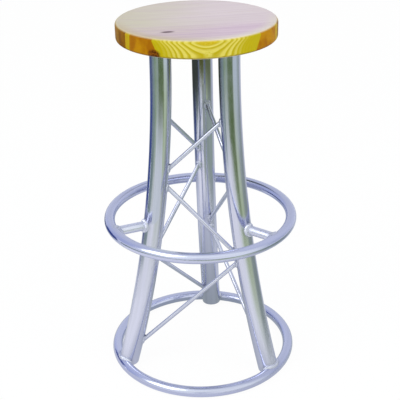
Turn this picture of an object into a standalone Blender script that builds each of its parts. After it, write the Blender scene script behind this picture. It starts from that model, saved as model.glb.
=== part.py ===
"""Bar stool: three bent aluminium legs laced together with rods, standing in a floor ring, with a
footrest ring held out on stubs and a round seat of edge-glued pine staves screwed to a plate.

Metres, +Z up. The origin is on the floor, on the stool's axis. The rear leg stands on +Y.
"""

import math

import bmesh
import bpy
from mathutils import Vector

# Seat: a turned disc of staves glued edge to edge.
SEAT_HEIGHT = 0.845
SEAT_DIAMETER = 0.355
SEAT_THICKNESS = 0.040
SEAT_EDGE_RADIUS = 0.007
STAVE_WIDTH = 0.105
FRONT_JOINT_DISTANCE = 0.070
GRAIN_ANGLE = math.radians(17.0)
GLUE_LINE = 0.0003

# Seat plate: a triangle with a round corner over the top of each leg.
PLATE_THICKNESS = 0.005
PLATE_MARGIN = 0.008

# Wood screws, a pair along each side of the seat plate.
SCREW_DIAMETER = 0.005
SCREW_LENGTH = 0.030
SCREW_POINT_LENGTH = 0.006
SCREW_HEAD_DIAMETER = 0.010
SCREW_HEAD_HEIGHT = 0.0035
SCREW_EDGE_DISTANCE = 0.0205
SCREW_PAIR_SPACING = 0.060
SCREW_HOLE_CLEARANCE = 0.0005

# Legs: round tube, upright under the seat and then one even bend out to the floor ring.
LEG_NAMES = ("rear", "front_right", "front_left")
LEG_DIAMETER = 0.048
LEG_WALL = 0.003
LEG_CIRCLE_RADIUS = 0.087
LEG_STRAIGHT_LENGTH = 0.012
LEG_FOOT_LIFT = 0.007
LEG_FOOT_INSET = 0.014

# Floor ring and footrest ring: round tube bent to the same circle, butt-joined at one seam.
RING_DIAMETER = 0.433
RING_TUBE_DIAMETER = 0.025
RING_WALL = 0.002
RING_SEAM = 0.0003
RING_SEAM_ANGLE = math.radians(150.0)
FOOTREST_HEIGHT = 0.371
STUB_DIAMETER = 0.022
STUB_WALL = 0.002

# Lacing rods: a zig-zag of three on each face between two legs, measured along the leg axes.
FACE_NAMES = ("right", "front", "left")
ROD_DIAMETER = 0.010
LACING_TOP_DROP = 0.154
LACING_UPPER_PANEL = 0.160
LACING_MIDDLE_PANEL = 0.207
LACING_NODE_PASS = 0.020
LACING_FOOT_HEIGHT = 0.037

# Gap between pieces that are welded together or rest on each other.
SEATING_GAP = 0.0003

# Facets round each kind of piece.
LEG_SIDES = 20
LEG_BEND_STEPS = 10
RING_SIDES = 12
RING_STEPS = 48
STUB_SIDES = 16
ROD_SIDES = 12
SCREW_SIDES = 12
SCREW_HEAD_STEPS = 4
SEAT_SIDES = 72
SEAT_EDGE_STEPS = 4
PLATE_CORNER_STEPS = 10

# Working length by which a cutter or an uncut end passes the face it is trimmed at.
OVERRUN = 0.030
# Points closer than this are one point, and edges sharper than this stay sharp.
MERGE_DISTANCE = 0.00001
SHARP_ANGLE = math.radians(45.0)

# Sizes that follow from the ones above.
SEAT_RADIUS = SEAT_DIAMETER / 2
SEAT_UNDERSIDE = SEAT_HEIGHT - SEAT_THICKNESS
PLATE_TOP = SEAT_UNDERSIDE - SEATING_GAP
PLATE_UNDERSIDE = PLATE_TOP - PLATE_THICKNESS
LEG_RADIUS = LEG_DIAMETER / 2
LEG_TOP = PLATE_UNDERSIDE - SEATING_GAP
LEG_BEND_START = LEG_TOP - LEG_STRAIGHT_LENGTH
LEG_STEP_ANGLE = math.tau / len(LEG_NAMES)
RING_RADIUS = RING_DIAMETER / 2
RING_TUBE_RADIUS = RING_TUBE_DIAMETER / 2
# The ring's tube stands on a flat of its faceted section.
FLOOR_RING_HEIGHT = RING_TUBE_RADIUS * math.cos(math.pi / RING_SIDES)
# The bend is the arc that brings the leg's axis to the floor just inside the floor ring.
LEG_SPLAY = RING_RADIUS - LEG_FOOT_INSET - LEG_CIRCLE_RADIUS
LEG_BEND_RADIUS = (LEG_BEND_START**2 + LEG_SPLAY**2) / (2 * LEG_SPLAY)
PLATE_CORNER_RADIUS = LEG_RADIUS + PLATE_MARGIN
PLATE_SIDE_DISTANCE = LEG_CIRCLE_RADIUS * math.cos(LEG_STEP_ANGLE / 2) + PLATE_CORNER_RADIUS
SCREW_SIDE_DISTANCE = PLATE_SIDE_DISTANCE - SCREW_EDGE_DISTANCE
SCREW_HEAD_TOP = PLATE_UNDERSIDE - SEATING_GAP
SCREW_TIP = SCREW_HEAD_TOP + SCREW_LENGTH

# Colours as seen on the object, with roughness and metallic value.
FINISHES = {
    "pine": ((0.80, 0.58, 0.24, 1.0), 0.35, 0.0),
    "leg_aluminium": ((0.72, 0.73, 0.80, 1.0), 0.22, 1.0),
    "ring_aluminium": ((0.66, 0.68, 0.82, 1.0), 0.18, 1.0),
    "rod_aluminium": ((0.74, 0.74, 0.80, 1.0), 0.26, 1.0),
    "plate_aluminium": ((0.62, 0.63, 0.66, 1.0), 0.40, 1.0),
    "screw_zinc": ((0.58, 0.58, 0.60, 1.0), 0.35, 1.0),
}


def clear_scene():
    """Remove every object, so that the stool stands alone."""
    for leftover in list(bpy.data.objects):
        bpy.data.objects.remove(leftover, do_unlink=True)


def new_collection(name):
    """Add a collection to the scene."""
    collection = bpy.data.collections.new(name)
    bpy.context.scene.collection.children.link(collection)
    return collection


def finish(name):
    """The material of that name, made on first use."""
    material = bpy.data.materials.get(name)
    if material:
        return material
    colour, roughness, metallic = FINISHES[name]
    material = bpy.data.materials.new(name)
    material.use_nodes = True
    material.diffuse_color = colour
    shader = material.node_tree.nodes["Principled BSDF"]
    shader.inputs["Base Color"].default_value = colour
    shader.inputs["Roughness"].default_value = roughness
    shader.inputs["Metallic"].default_value = metallic
    return material


def add_piece(name, mesh, finish_name):
    """Add one piece of the stool, carried by the empty on the floor."""
    piece = bpy.data.objects.new(name, mesh)
    if not mesh.materials:
        mesh.materials.append(finish(finish_name))
    PIECES.objects.link(piece)
    piece.parent = FLOOR_CENTRE
    return piece


def add_cutter(name, mesh):
    """Add a shape that only cuts other pieces."""
    cutter = bpy.data.objects.new(name, mesh)
    cutter.hide_render = True
    cutter.display_type = "WIRE"
    CUTTERS.objects.link(cutter)
    return cutter


def cut(piece, cutter, operation="DIFFERENCE"):
    """Cut a piece by one cutter, or keep only what lies inside it."""
    boolean = piece.modifiers.new(cutter.name, "BOOLEAN")
    boolean.operation = operation
    boolean.object = cutter
    boolean.solver = "EXACT"


def hollow(piece, wall):
    """Give an open tube its wall, measured inwards."""
    solidify = piece.modifiers.new("wall", "SOLIDIFY")
    solidify.thickness = wall
    solidify.offset = -1.0
    solidify.use_even_offset = True
    solidify.use_rim = True


def turn(piece, steps, sweep=math.tau):
    """Turn a profile about Z."""
    screw = piece.modifiers.new("turned", "SCREW")
    screw.axis = "Z"
    screw.angle = sweep
    screw.screw_offset = 0.0
    screw.steps = steps
    screw.render_steps = steps
    screw.use_normal_calculate = False
    screw.use_smooth_shade = True
    screw.use_merge_vertices = sweep == math.tau
    screw.merge_threshold = MERGE_DISTANCE


def profile_mesh(name, points, closed):
    """A profile in the XZ plane from (radius, height) points that run down its outer side."""
    edges = [(index, index + 1) for index in range(len(points) - 1)]
    if closed:
        edges.append((len(points) - 1, 0))
    mesh = bpy.data.meshes.new(name)
    mesh.from_pydata([(radius, 0.0, height) for radius, height in points], edges, [])
    return mesh


def arc_points(centre, radius, start, end, steps):
    """Points on an arc, with angles measured from straight up towards +X."""
    points = []
    for step in range(steps + 1):
        angle = start + (end - start) * step / steps
        points.append((centre[0] + radius * math.sin(angle), centre[1] + radius * math.cos(angle)))
    return points


def cylinder_mesh(name, radius, length, sides, capped=True):
    """A cylinder along Z, centred on its own origin."""
    shape = bmesh.new()
    bmesh.ops.create_cone(
        shape, cap_ends=capped, segments=sides, radius1=radius, radius2=radius, depth=length
    )
    mesh = bpy.data.meshes.new(name)
    shape.to_mesh(mesh)
    shape.free()
    mesh.shade_smooth()
    mesh.set_sharp_from_angle(angle=SHARP_ANGLE)
    return mesh


def swept_tube_mesh(name, points, radius, sides, capped):
    """A round tube along a line of points, as a mesh."""
    curve = bpy.data.curves.new(name, "CURVE")
    curve.dimensions = "3D"
    curve.bevel_depth = radius
    # A round bevel has four sides, and two more for each step of its resolution.
    curve.bevel_resolution = (sides - 4) // 2
    curve.use_fill_caps = capped
    spline = curve.splines.new("POLY")
    spline.points.add(len(points) - 1)
    for point, place in zip(spline.points, points):
        point.co = (*place, 1.0)
    guide = bpy.data.objects.new(name, curve)
    bpy.context.scene.collection.objects.link(guide)
    evaluated = guide.evaluated_get(bpy.context.evaluated_depsgraph_get())
    mesh = bpy.data.meshes.new_from_object(evaluated)
    bpy.data.objects.remove(guide)
    bpy.data.curves.remove(curve)
    shape = bmesh.new()
    shape.from_mesh(mesh)
    bmesh.ops.remove_doubles(shape, verts=shape.verts, dist=MERGE_DISTANCE)
    shape.to_mesh(mesh)
    shape.free()
    mesh.shade_smooth()
    return mesh


def leg_turn(index):
    """Angle about Z that turns +X towards a leg. The first leg is the rear one, on +Y."""
    return math.pi / 2 - LEG_STEP_ANGLE * index


def outward(angle):
    """Unit vector in the floor plane at an angle from +X."""
    return Vector((math.cos(angle), math.sin(angle), 0.0))


def leg_axis_radius(height):
    """How far a leg's axis is from the stool's axis at a height."""
    drop = LEG_BEND_START - height
    return LEG_CIRCLE_RADIUS + LEG_BEND_RADIUS - math.sqrt(LEG_BEND_RADIUS**2 - drop**2)


def leg_axis_point(index, height):
    """Point on a leg's axis at a height within its bend."""
    return outward(leg_turn(index)) * leg_axis_radius(height) + Vector((0.0, 0.0, height))


def leg_path():
    """A leg's axis in the XZ plane: the upright end, then the bend down past the floor."""
    points = [Vector((LEG_CIRCLE_RADIUS, 0.0, LEG_TOP))]
    bend_angle = math.asin((LEG_BEND_START + OVERRUN) / LEG_BEND_RADIUS)
    for step in range(LEG_BEND_STEPS + 1):
        angle = bend_angle * step / LEG_BEND_STEPS
        radius = LEG_CIRCLE_RADIUS + LEG_BEND_RADIUS * (1.0 - math.cos(angle))
        points.append(Vector((radius, 0.0, LEG_BEND_START - LEG_BEND_RADIUS * math.sin(angle))))
    return points


def clear_of(radius, sides):
    """Radius of a faceted cutter whose flats lie one seating gap outside a piece's flats."""
    return radius + SEATING_GAP / math.cos(math.pi / sides)


def ring_section(radius, height):
    """A ring tube's section, with one flat underneath."""
    half_side = math.pi / RING_SIDES
    loop = arc_points((RING_RADIUS, height), radius, half_side, math.tau + half_side, RING_SIDES)
    return loop[:-1]


def foot_section():
    """What a leg's foot loses: all below its lift, and a saddle over the floor ring."""
    section = ring_section(clear_of(RING_TUBE_RADIUS, RING_SIDES), FLOOR_RING_HEIGHT)
    saddle = sorted(corner for corner in section if corner[1] > FLOOR_RING_HEIGHT - SEATING_GAP)
    inner = saddle[0][0]
    outer = saddle[-1][0] + LEG_DIAMETER
    return [
        (inner, LEG_FOOT_LIFT),
        *saddle,
        (outer, FLOOR_RING_HEIGHT),
        (outer, -2 * OVERRUN),
        (inner - 2 * LEG_DIAMETER, -2 * OVERRUN),
        (inner - 2 * LEG_DIAMETER, LEG_FOOT_LIFT),
    ]


def make_leg_copes():
    """Solid legs, one seating gap larger, that shape whatever is welded to a leg."""
    radius = clear_of(LEG_RADIUS, LEG_SIDES)
    mesh = swept_tube_mesh("leg_cope", leg_path(), radius, LEG_SIDES, capped=True)
    copes = []
    for index, name in enumerate(LEG_NAMES):
        cope = add_cutter(f"leg_cope_{name}", mesh)
        cope.rotation_euler.z = leg_turn(index)
        copes.append(cope)
    return copes


def make_footrest_cope():
    """A solid footrest ring, one seating gap larger, that shapes the stubs' outer ends."""
    radius = clear_of(RING_TUBE_RADIUS, RING_SIDES)
    mesh = profile_mesh("footrest_cope", ring_section(radius, FOOTREST_HEIGHT), closed=True)
    cope = add_cutter("footrest_cope", mesh)
    cope.rotation_euler.z = RING_SEAM_ANGLE
    turn(cope, RING_STEPS)
    return cope


def make_legs():
    """The three bent tubes, each notched at the foot to straddle the floor ring."""
    foot_cutter = add_cutter("leg_foot_cutter", profile_mesh("leg_foot_cutter", foot_section(), True))
    foot_cutter.rotation_euler.z = RING_SEAM_ANGLE
    turn(foot_cutter, RING_STEPS)
    mesh = swept_tube_mesh("leg", leg_path(), LEG_RADIUS, LEG_SIDES, capped=False)
    for index, name in enumerate(LEG_NAMES):
        leg = add_piece(f"leg_{name}", mesh, "leg_aluminium")
        leg.rotation_euler.z = leg_turn(index)
        hollow(leg, LEG_WALL)
        cut(leg, foot_cutter)


def make_ring(name, height):
    """A tube bent to a circle, whose two ends face each other across the seam."""
    mesh = profile_mesh(name, ring_section(RING_TUBE_RADIUS, height), closed=True)
    ring = add_piece(name, mesh, "ring_aluminium")
    ring.rotation_euler.z = RING_SEAM_ANGLE
    turn(ring, RING_STEPS, math.tau - RING_SEAM / (RING_RADIUS - RING_TUBE_RADIUS))
    hollow(ring, RING_WALL)


def make_stubs(leg_copes, footrest_cope):
    """Short tubes that hold the footrest ring out from the legs."""
    inner = leg_axis_radius(FOOTREST_HEIGHT)
    mesh = cylinder_mesh("footrest_stub", STUB_DIAMETER / 2, RING_RADIUS - inner, STUB_SIDES, capped=False)
    for index, name in enumerate(LEG_NAMES):
        stub = add_piece(f"footrest_stub_{name}", mesh, "ring_aluminium")
        stub.location = outward(leg_turn(index)) * (inner + RING_RADIUS) / 2
        stub.location.z = FOOTREST_HEIGHT
        stub.rotation_euler = (0.0, math.pi / 2, leg_turn(index))
        hollow(stub, STUB_WALL)
        cut(stub, leg_copes[index])
        cut(stub, footrest_cope)


def lacing_heights():
    """Upper and lower end of each rod of a face, on the leg axes, from the top down."""
    top = LEG_TOP - LACING_TOP_DROP
    upper_node = top - LACING_UPPER_PANEL
    lower_node = upper_node - LACING_MIDDLE_PANEL
    return {
        "upper": (top, upper_node),
        "middle": (upper_node, lower_node),
        "lower": (lower_node + LACING_NODE_PASS, LACING_FOOT_HEIGHT),
    }


def make_lacing(leg_copes):
    """Rods that zig-zag down each face. The middle rod of a face leans against the other two."""
    for index, face in enumerate(FACE_NAMES):
        following = (index + 1) % len(LEG_NAMES)
        for level, (top, bottom) in lacing_heights().items():
            start, end = (following, index) if level == "middle" else (index, following)
            upper = leg_axis_point(start, top)
            lower = leg_axis_point(end, bottom)
            name = f"lacing_{face}_{level}"
            mesh = cylinder_mesh(name, ROD_DIAMETER / 2, (upper - lower).length, ROD_SIDES)
            rod = add_piece(name, mesh, "rod_aluminium")
            rod.location = (upper + lower) / 2
            rod.rotation_euler = (upper - lower).to_track_quat("Z", "Y").to_euler()
            cut(rod, leg_copes[start])
            cut(rod, leg_copes[end])


def screw_places():
    """Where the wood screws go: a pair along each side of the seat plate."""
    places = []
    for index in range(len(LEG_NAMES)):
        across = outward(leg_turn(index) - LEG_STEP_ANGLE / 2)
        along = Vector((-across.y, across.x, 0.0))
        for side in (-1, 1):
            places.append(across * SCREW_SIDE_DISTANCE + along * side * SCREW_PAIR_SPACING / 2)
    return places


def make_seat_plate():
    """The flat plate on top of the legs, drilled for the wood screws."""
    outline = []
    for index in range(len(LEG_NAMES)):
        centre = outward(leg_turn(index)) * LEG_CIRCLE_RADIUS
        for step in range(PLATE_CORNER_STEPS + 1):
            angle = leg_turn(index) + LEG_STEP_ANGLE * (0.5 - step / PLATE_CORNER_STEPS)
            outline.append(centre + outward(angle) * PLATE_CORNER_RADIUS)
    hole_radius = SCREW_DIAMETER / 2 + SCREW_HOLE_CLEARANCE
    loops = [outline]
    for place in screw_places():
        angles = [math.tau * side / SCREW_SIDES for side in range(SCREW_SIDES)]
        loops.append([place + outward(angle) * hole_radius for angle in angles])
    curve = bpy.data.curves.new("seat_plate", "CURVE")
    curve.dimensions = "2D"
    curve.fill_mode = "BOTH"
    curve.extrude = PLATE_THICKNESS / 2
    for loop in loops:
        spline = curve.splines.new("POLY")
        spline.points.add(len(loop) - 1)
        spline.use_cyclic_u = True
        for point, place in zip(spline.points, loop):
            point.co = (*place, 1.0)
    plate = add_piece("seat_plate", curve, "plate_aluminium")
    plate.location.z = PLATE_TOP - PLATE_THICKNESS / 2


def make_screws():
    """Round-headed wood screws, driven up through the plate."""
    shank = SCREW_DIAMETER / 2
    head = SCREW_HEAD_DIAMETER / 2
    # The head is a cap of the sphere through its rim and its crown.
    dome = (head**2 + SCREW_HEAD_HEIGHT**2) / (2 * SCREW_HEAD_HEIGHT)
    crown = SCREW_HEAD_TOP - SCREW_HEAD_HEIGHT
    rim_angle = math.asin(head / dome)
    cap = arc_points((0.0, crown + dome), dome, math.pi - rim_angle, math.pi, SCREW_HEAD_STEPS)
    cap[-1] = (0.0, crown)
    profile = [(0.0, SCREW_TIP), (shank, SCREW_TIP - SCREW_POINT_LENGTH), (shank, SCREW_HEAD_TOP), *cap]
    mesh = profile_mesh("seat_screw", profile, closed=False)
    for number, place in enumerate(screw_places(), start=1):
        screw = add_piece(f"seat_screw_{number}", mesh, "screw_zinc")
        screw.location = place
        turn(screw, SCREW_SIDES)


def make_pilot_holes():
    """The screws' holes up into the seat."""
    radius = clear_of(SCREW_DIAMETER / 2, SCREW_SIDES)
    top = SCREW_TIP + SEATING_GAP
    bottom = SEAT_UNDERSIDE - OVERRUN
    mesh = cylinder_mesh("pilot_hole", radius, top - bottom, SCREW_SIDES)
    holes = []
    for number, place in enumerate(screw_places(), start=1):
        hole = add_cutter(f"pilot_hole_{number}", mesh)
        hole.location = place
        hole.location.z = (top + bottom) / 2
        holes.append(hole)
    return holes


def stave_edges():
    """Where each stave starts and ends across the grain, front to back.

    The rearmost joint leaves a stave that is wider than the rounding of the seat's edge.
    """
    reach = SEAT_RADIUS - 2 * SEAT_EDGE_RADIUS
    last = math.floor((reach + FRONT_JOINT_DISTANCE) / STAVE_WIDTH)
    joints = [step * STAVE_WIDTH - FRONT_JOINT_DISTANCE for step in range(last + 1)]
    half_glue = GLUE_LINE / 2
    starts = [-SEAT_RADIUS - OVERRUN, *(joint + half_glue for joint in joints)]
    ends = [*(joint - half_glue for joint in joints), SEAT_RADIUS + OVERRUN]
    return list(zip(starts, ends))


def make_seat():
    """The seat's staves: one disc with rounded edges, parted along the grain."""
    across = outward(GRAIN_ANGLE + math.pi / 2)
    holes = make_pilot_holes()
    for number, (start, end) in enumerate(stave_edges(), start=1):
        name = f"seat_stave_{number}"
        disc = cylinder_mesh(name, SEAT_RADIUS, SEAT_THICKNESS, SEAT_SIDES)
        stave = add_piece(name, disc, "pine")
        stave.location.z = SEAT_HEIGHT - SEAT_THICKNESS / 2
        rounding = stave.modifiers.new("rounded_edges", "BEVEL")
        rounding.width = min(SEAT_EDGE_RADIUS, SEAT_THICKNESS / 2 - SEATING_GAP)
        rounding.segments = SEAT_EDGE_STEPS
        rounding.limit_method = "ANGLE"
        rounding.angle_limit = SHARP_ANGLE
        shape = bmesh.new()
        bmesh.ops.create_cube(shape, size=1.0)
        size = (SEAT_DIAMETER + OVERRUN, end - start, SEAT_THICKNESS + OVERRUN)
        bmesh.ops.scale(shape, vec=size, verts=shape.verts)
        board_mesh = bpy.data.meshes.new(f"board_{number}")
        shape.to_mesh(board_mesh)
        shape.free()
        board = add_cutter(f"board_{number}", board_mesh)
        board.location = across * (start + end) / 2
        board.location.z = SEAT_HEIGHT - SEAT_THICKNESS / 2
        board.rotation_euler.z = GRAIN_ANGLE
        cut(stave, board, "INTERSECT")
        for hole in holes:
            cut(stave, hole)


clear_scene()
PIECES = new_collection("bar_stool")
CUTTERS = new_collection("cutters")
FLOOR_CENTRE = bpy.data.objects.new("floor_centre", None)
PIECES.objects.link(FLOOR_CENTRE)

legs_welded_to = make_leg_copes()
make_legs()
make_ring("floor_ring", FLOOR_RING_HEIGHT)
make_ring("footrest_ring", FOOTREST_HEIGHT)
make_stubs(legs_welded_to, make_footrest_cope())
make_lacing(legs_welded_to)
make_seat_plate()
make_screws()
make_seat()
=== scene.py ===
"""Looks of the bar stool: polished aluminium tubes and rods, rippled welds and a lacquered pine seat.

Metres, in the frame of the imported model: the floor is z = 0 and the rear leg stands on +Y.
"""

import logging
import math
from dataclasses import dataclass, field
from enum import Enum
from typing import Any, Callable, ClassVar, Mapping, Sequence

import bmesh
import bpy
import numpy as np
from mathutils import Matrix, Vector
from mathutils.kdtree import KDTree


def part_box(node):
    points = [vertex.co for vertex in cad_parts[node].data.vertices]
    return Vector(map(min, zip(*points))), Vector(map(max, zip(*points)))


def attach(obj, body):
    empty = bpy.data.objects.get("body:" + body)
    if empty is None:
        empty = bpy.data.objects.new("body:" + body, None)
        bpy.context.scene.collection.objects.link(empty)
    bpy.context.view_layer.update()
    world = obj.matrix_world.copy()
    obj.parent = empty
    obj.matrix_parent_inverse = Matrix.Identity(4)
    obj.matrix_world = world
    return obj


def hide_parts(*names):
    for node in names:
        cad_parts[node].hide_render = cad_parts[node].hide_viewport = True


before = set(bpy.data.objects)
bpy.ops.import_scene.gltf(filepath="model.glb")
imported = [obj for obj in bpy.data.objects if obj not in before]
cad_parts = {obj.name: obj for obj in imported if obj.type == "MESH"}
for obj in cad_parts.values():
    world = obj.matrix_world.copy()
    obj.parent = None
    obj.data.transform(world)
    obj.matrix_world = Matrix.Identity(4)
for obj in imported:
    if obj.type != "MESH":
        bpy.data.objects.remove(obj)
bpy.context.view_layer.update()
BODY = "root"
STRAIGHT = "straight"
HEAT = "weld_heat"
COVER = "cover"
UP = (0.0, 0.0, 1.0)
WHITE = (1.0, 1.0, 1.0)
METAL = {"Metallic": 1.0}
MERGE_DISTANCE = 0.00001
HALVINGS = 48
LOG = logging.getLogger("bar_stool")

Pair = tuple[float, float]
Triple = tuple[float, float, float]
Colour = Triple
Array = np.ndarray
Mesh = bpy.types.Mesh
Piece = bpy.types.Object
Material = bpy.types.Material
Shape = bmesh.types.BMesh
Socket = bpy.types.NodeSocket
Value = Socket | float | Sequence[float]
Inputs = Mapping[str | int, Value]


class Slot(Enum):
    """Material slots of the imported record."""

    PINE = "pine"
    LEG = "leg_tube"
    RING = "ring_tube"
    ROD = "lacing_rod"
    PLATE = "seat_plate"
    SCREW = "screw"


@dataclass(frozen=True)
class Waves:
    """Smooth noise: its waves for each metre along three axes, its finer layers and their weight."""

    scale: Triple
    layers: float = 2.0
    weight: float = 0.5


def opaque(colour: Value) -> Value:
    """A colour with full alpha. A socket stays as it is."""
    return (*colour, 1.0) if isinstance(colour, tuple) else colour


def scaled(values: tuple[float, ...], factor: float) -> tuple[float, ...]:
    """Numbers, such as those of a colour, each times a factor."""
    return tuple(factor * value for value in values)


class NodeSheet:
    """Adds shader nodes to one material or world and joins them.

    A value that a method takes is a constant or another node's output.
    """

    def __init__(self, owner: Material | bpy.types.World) -> None:
        """Start on a new material or world.

        Args:
            owner: What the nodes belong to.
        """
        owner.use_nodes = True
        self.owner = owner
        self.tree = owner.node_tree

    def add(self, kind: str, inputs: Inputs | None = None, **settings: Any) -> bpy.types.Node:
        """Add a node.

        Args:
            kind: Blender's name for the node.
            inputs: Value for each input, by its name or number.
            settings: Properties of the node itself.

        Returns:
            The new node.
        """
        node = self.tree.nodes.new(kind)
        for key, value in settings.items():
            setattr(node, key, value)
        for key, value in (inputs or {}).items():
            self.feed(node.inputs[key], value)
        return node

    def feed(self, socket: Socket, value: Value) -> None:
        """Give an input its value.

        Args:
            socket: The input.
            value: A constant to set, or an output to link.
        """
        if isinstance(value, Socket):
            self.tree.links.new(value, socket)
        else:
            socket.default_value = value

    def attribute(self, name: str, output: str = "Fac") -> Socket:
        """An attribute that the mesh carries."""
        return self.add("ShaderNodeAttribute", attribute_name=name).outputs[output]

    def coordinates(self, kind: str = "Object") -> Socket:
        """Coordinates of one kind."""
        return self.add("ShaderNodeTexCoord").outputs[kind]

    def parts(self, vector: Socket) -> Mapping[str, Socket]:
        """The three parts of a vector, by letter."""
        return self.add("ShaderNodeSeparateXYZ", {0: vector}).outputs

    def number(self, operation: str, *values: Value) -> Socket:
        """Result of a Math node on up to three values."""
        return self.add("ShaderNodeMath", dict(enumerate(values)), operation=operation).outputs[0]

    def times(self, first: Value, second: Value) -> Socket:
        """Product of two values."""
        return self.number("MULTIPLY", first, second)

    def plus_times(self, base: Value, value: Socket, factor: float) -> Socket:
        """A base with a multiple of a value on top."""
        return self.number("MULTIPLY_ADD", value, factor, base)

    def vector(self, operation: str, *values: Value) -> Socket:
        """Result of a Vector Math node, as a number where the operation gives one."""
        node = self.add("ShaderNodeVectorMath", dict(enumerate(values)), operation=operation)
        return node.outputs["Value" if operation in ("LENGTH", "DOT_PRODUCT") else "Vector"]

    def noise(self, place: Socket, waves: Waves, output: str = "Fac") -> Socket:
        """Smooth noise on a place.

        Args:
            place: Coordinates in metres.
            waves: Kind of noise.
            output: Whether it comes as a number or as a colour.

        Returns:
            The noise.
        """
        stretched = self.vector("MULTIPLY", place, waves.scale)
        inputs = {"Vector": stretched, "Scale": 1.0, "Detail": waves.layers, "Roughness": waves.weight}
        return self.add("ShaderNodeTexNoise", inputs).outputs[output]

    def ease(self, value: Socket, reach: Pair, result: Pair = (0.0, 1.0)) -> Socket:
        """A value carried from one range to another along a smooth step."""
        inputs = dict(enumerate((value, *reach, *result)))
        return self.add("ShaderNodeMapRange", inputs, interpolation_type="SMOOTHSTEP").outputs[0]

    def mix(self, factor: Value, first: Value, second: Value, blend: str = "MIX") -> Socket:
        """A mix of two colours."""
        inputs = {0: factor, 6: opaque(first), 7: opaque(second)}
        return self.add("ShaderNodeMix", inputs, data_type="RGBA", blend_type=blend).outputs[2]

    def ramp(self, value: Socket, stops: Sequence[Pair]) -> Socket:
        """A grey ramp.

        Args:
            value: Position on the ramp.
            stops: Pairs of position and grey value, in order.

        Returns:
            The grey value as a colour.
        """
        node = self.add("ShaderNodeValToRGB", {0: value})
        elements = node.color_ramp.elements
        while len(elements) < len(stops):
            elements.new(1.0)
        for element, (position, grey) in zip(elements, stops):
            element.position = position
            element.color = opaque((grey, grey, grey))
        return node.outputs[0]

    def bump(self, height: Socket, strength: float, depth: float, normal: Socket | None = None) -> Socket:
        """A bumped normal.

        Args:
            height: Height of the relief, from 0 to 1.
            strength: How far the bump counts.
            depth: Depth of the relief in metres.
            normal: Another bump that this one lies on.

        Returns:
            The normal.
        """
        inputs = {"Height": height, "Strength": strength, "Distance": depth}
        if normal is not None:
            inputs["Normal"] = normal
        return self.add("ShaderNodeBump", inputs).outputs[0]

    def layer(self, cover: Socket, under: Socket, over: Socket) -> Material:
        """Put one shader over another, in place of the material's first one.

        Args:
            cover: Share of the upper shader.
            under: The lower shader.
            over: The upper shader.

        Returns:
            The finished material.
        """
        mixed = self.add("ShaderNodeMixShader", {0: cover, 1: under, 2: over}).outputs[0]
        self.tree.nodes.remove(self.tree.nodes["Principled BSDF"])
        self.feed(self.tree.nodes["Material Output"].inputs["Surface"], mixed)
        return self.owner

    def finish(
        self, tone: Socket, gloss: Socket, normal: Socket, constants: Mapping[str, float]
    ) -> Material:
        """Set the inputs of the material's Principled shader.

        Args:
            tone: Colour of the surface.
            gloss: Its roughness.
            normal: Its bumped normal.
            constants: Inputs that are the same all over the surface.

        Returns:
            The finished material.
        """
        shader = self.tree.nodes["Principled BSDF"]
        inputs = {**constants, "Base Color": tone, "Roughness": gloss, "Normal": normal}
        for key, value in inputs.items():
            self.feed(shader.inputs[key], value)
        return self.owner


@dataclass(frozen=True)
class Aluminium:
    """Drawn and polished aluminium: fine lines along the piece, a soft haze and dulled weld zones.

    A range is where a smooth step starts and ends, and a bump is its strength and its depth.
    """

    name: str
    colour: Colour
    roughness: float
    lines: Waves = Waves((1500.0, 1500.0, 7.0), 3.0, 0.6)
    line_range: Pair = (0.35, 0.75)
    line_shine: float = 0.10
    line_gloss: float = 0.06
    line_bump: Pair = (0.5, 0.00003)
    bands: Waves = Waves((70.0, 70.0, 2.5), 3.0)
    band_range: Pair = (0.3, 0.7)
    band_shade: float = 0.86
    haze: Waves = Waves((26.0, 26.0, 14.0), 5.0, 0.6)
    haze_range: Pair = (0.3, 0.75)
    haze_gloss: Pair = (0.75, 1.45)
    bends: Waves = Waves((9.0, 9.0, 11.0), 1.0)
    bend_bump: Pair = (0.6, 0.0006)
    burnt: Colour = (0.36, 0.37, 0.42)
    heat_range: Pair = (0.1, 1.0)
    soot_range: Pair = (0.25, 0.65)
    soot_share: Pair = (0.3, 1.0)
    soot_cover: float = 0.55
    soot_gloss: float = 0.22

    def material(self) -> Material:
        """Build the finish.

        Returns:
            The material.
        """
        sheet = NodeSheet(bpy.data.materials.new(self.name))
        place = sheet.attribute(STRAIGHT, "Vector")
        lines = sheet.noise(place, self.lines)
        haze = sheet.noise(place, self.haze)
        band = sheet.ease(sheet.noise(place, self.bands), self.band_range)
        tone = sheet.mix(band, scaled(self.colour, self.band_shade), self.colour)
        shine = sheet.times(sheet.ease(lines, self.line_range), self.line_shine)
        tone = sheet.mix(shine, tone, WHITE)
        heat = sheet.ease(sheet.attribute(HEAT), self.heat_range)
        soot = sheet.times(heat, sheet.ease(haze, self.soot_range, self.soot_share))
        tone = sheet.mix(sheet.times(soot, self.soot_cover), tone, self.burnt)
        gloss = sheet.ease(haze, self.haze_range, scaled(self.haze_gloss, self.roughness))
        gloss = sheet.plus_times(gloss, lines, self.line_gloss)
        gloss = sheet.plus_times(gloss, soot, self.soot_gloss)
        normal = sheet.bump(lines, *self.line_bump)
        normal = sheet.bump(sheet.noise(place, self.bends), *self.bend_bump, normal)
        return sheet.finish(tone, gloss, normal, METAL)


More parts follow.
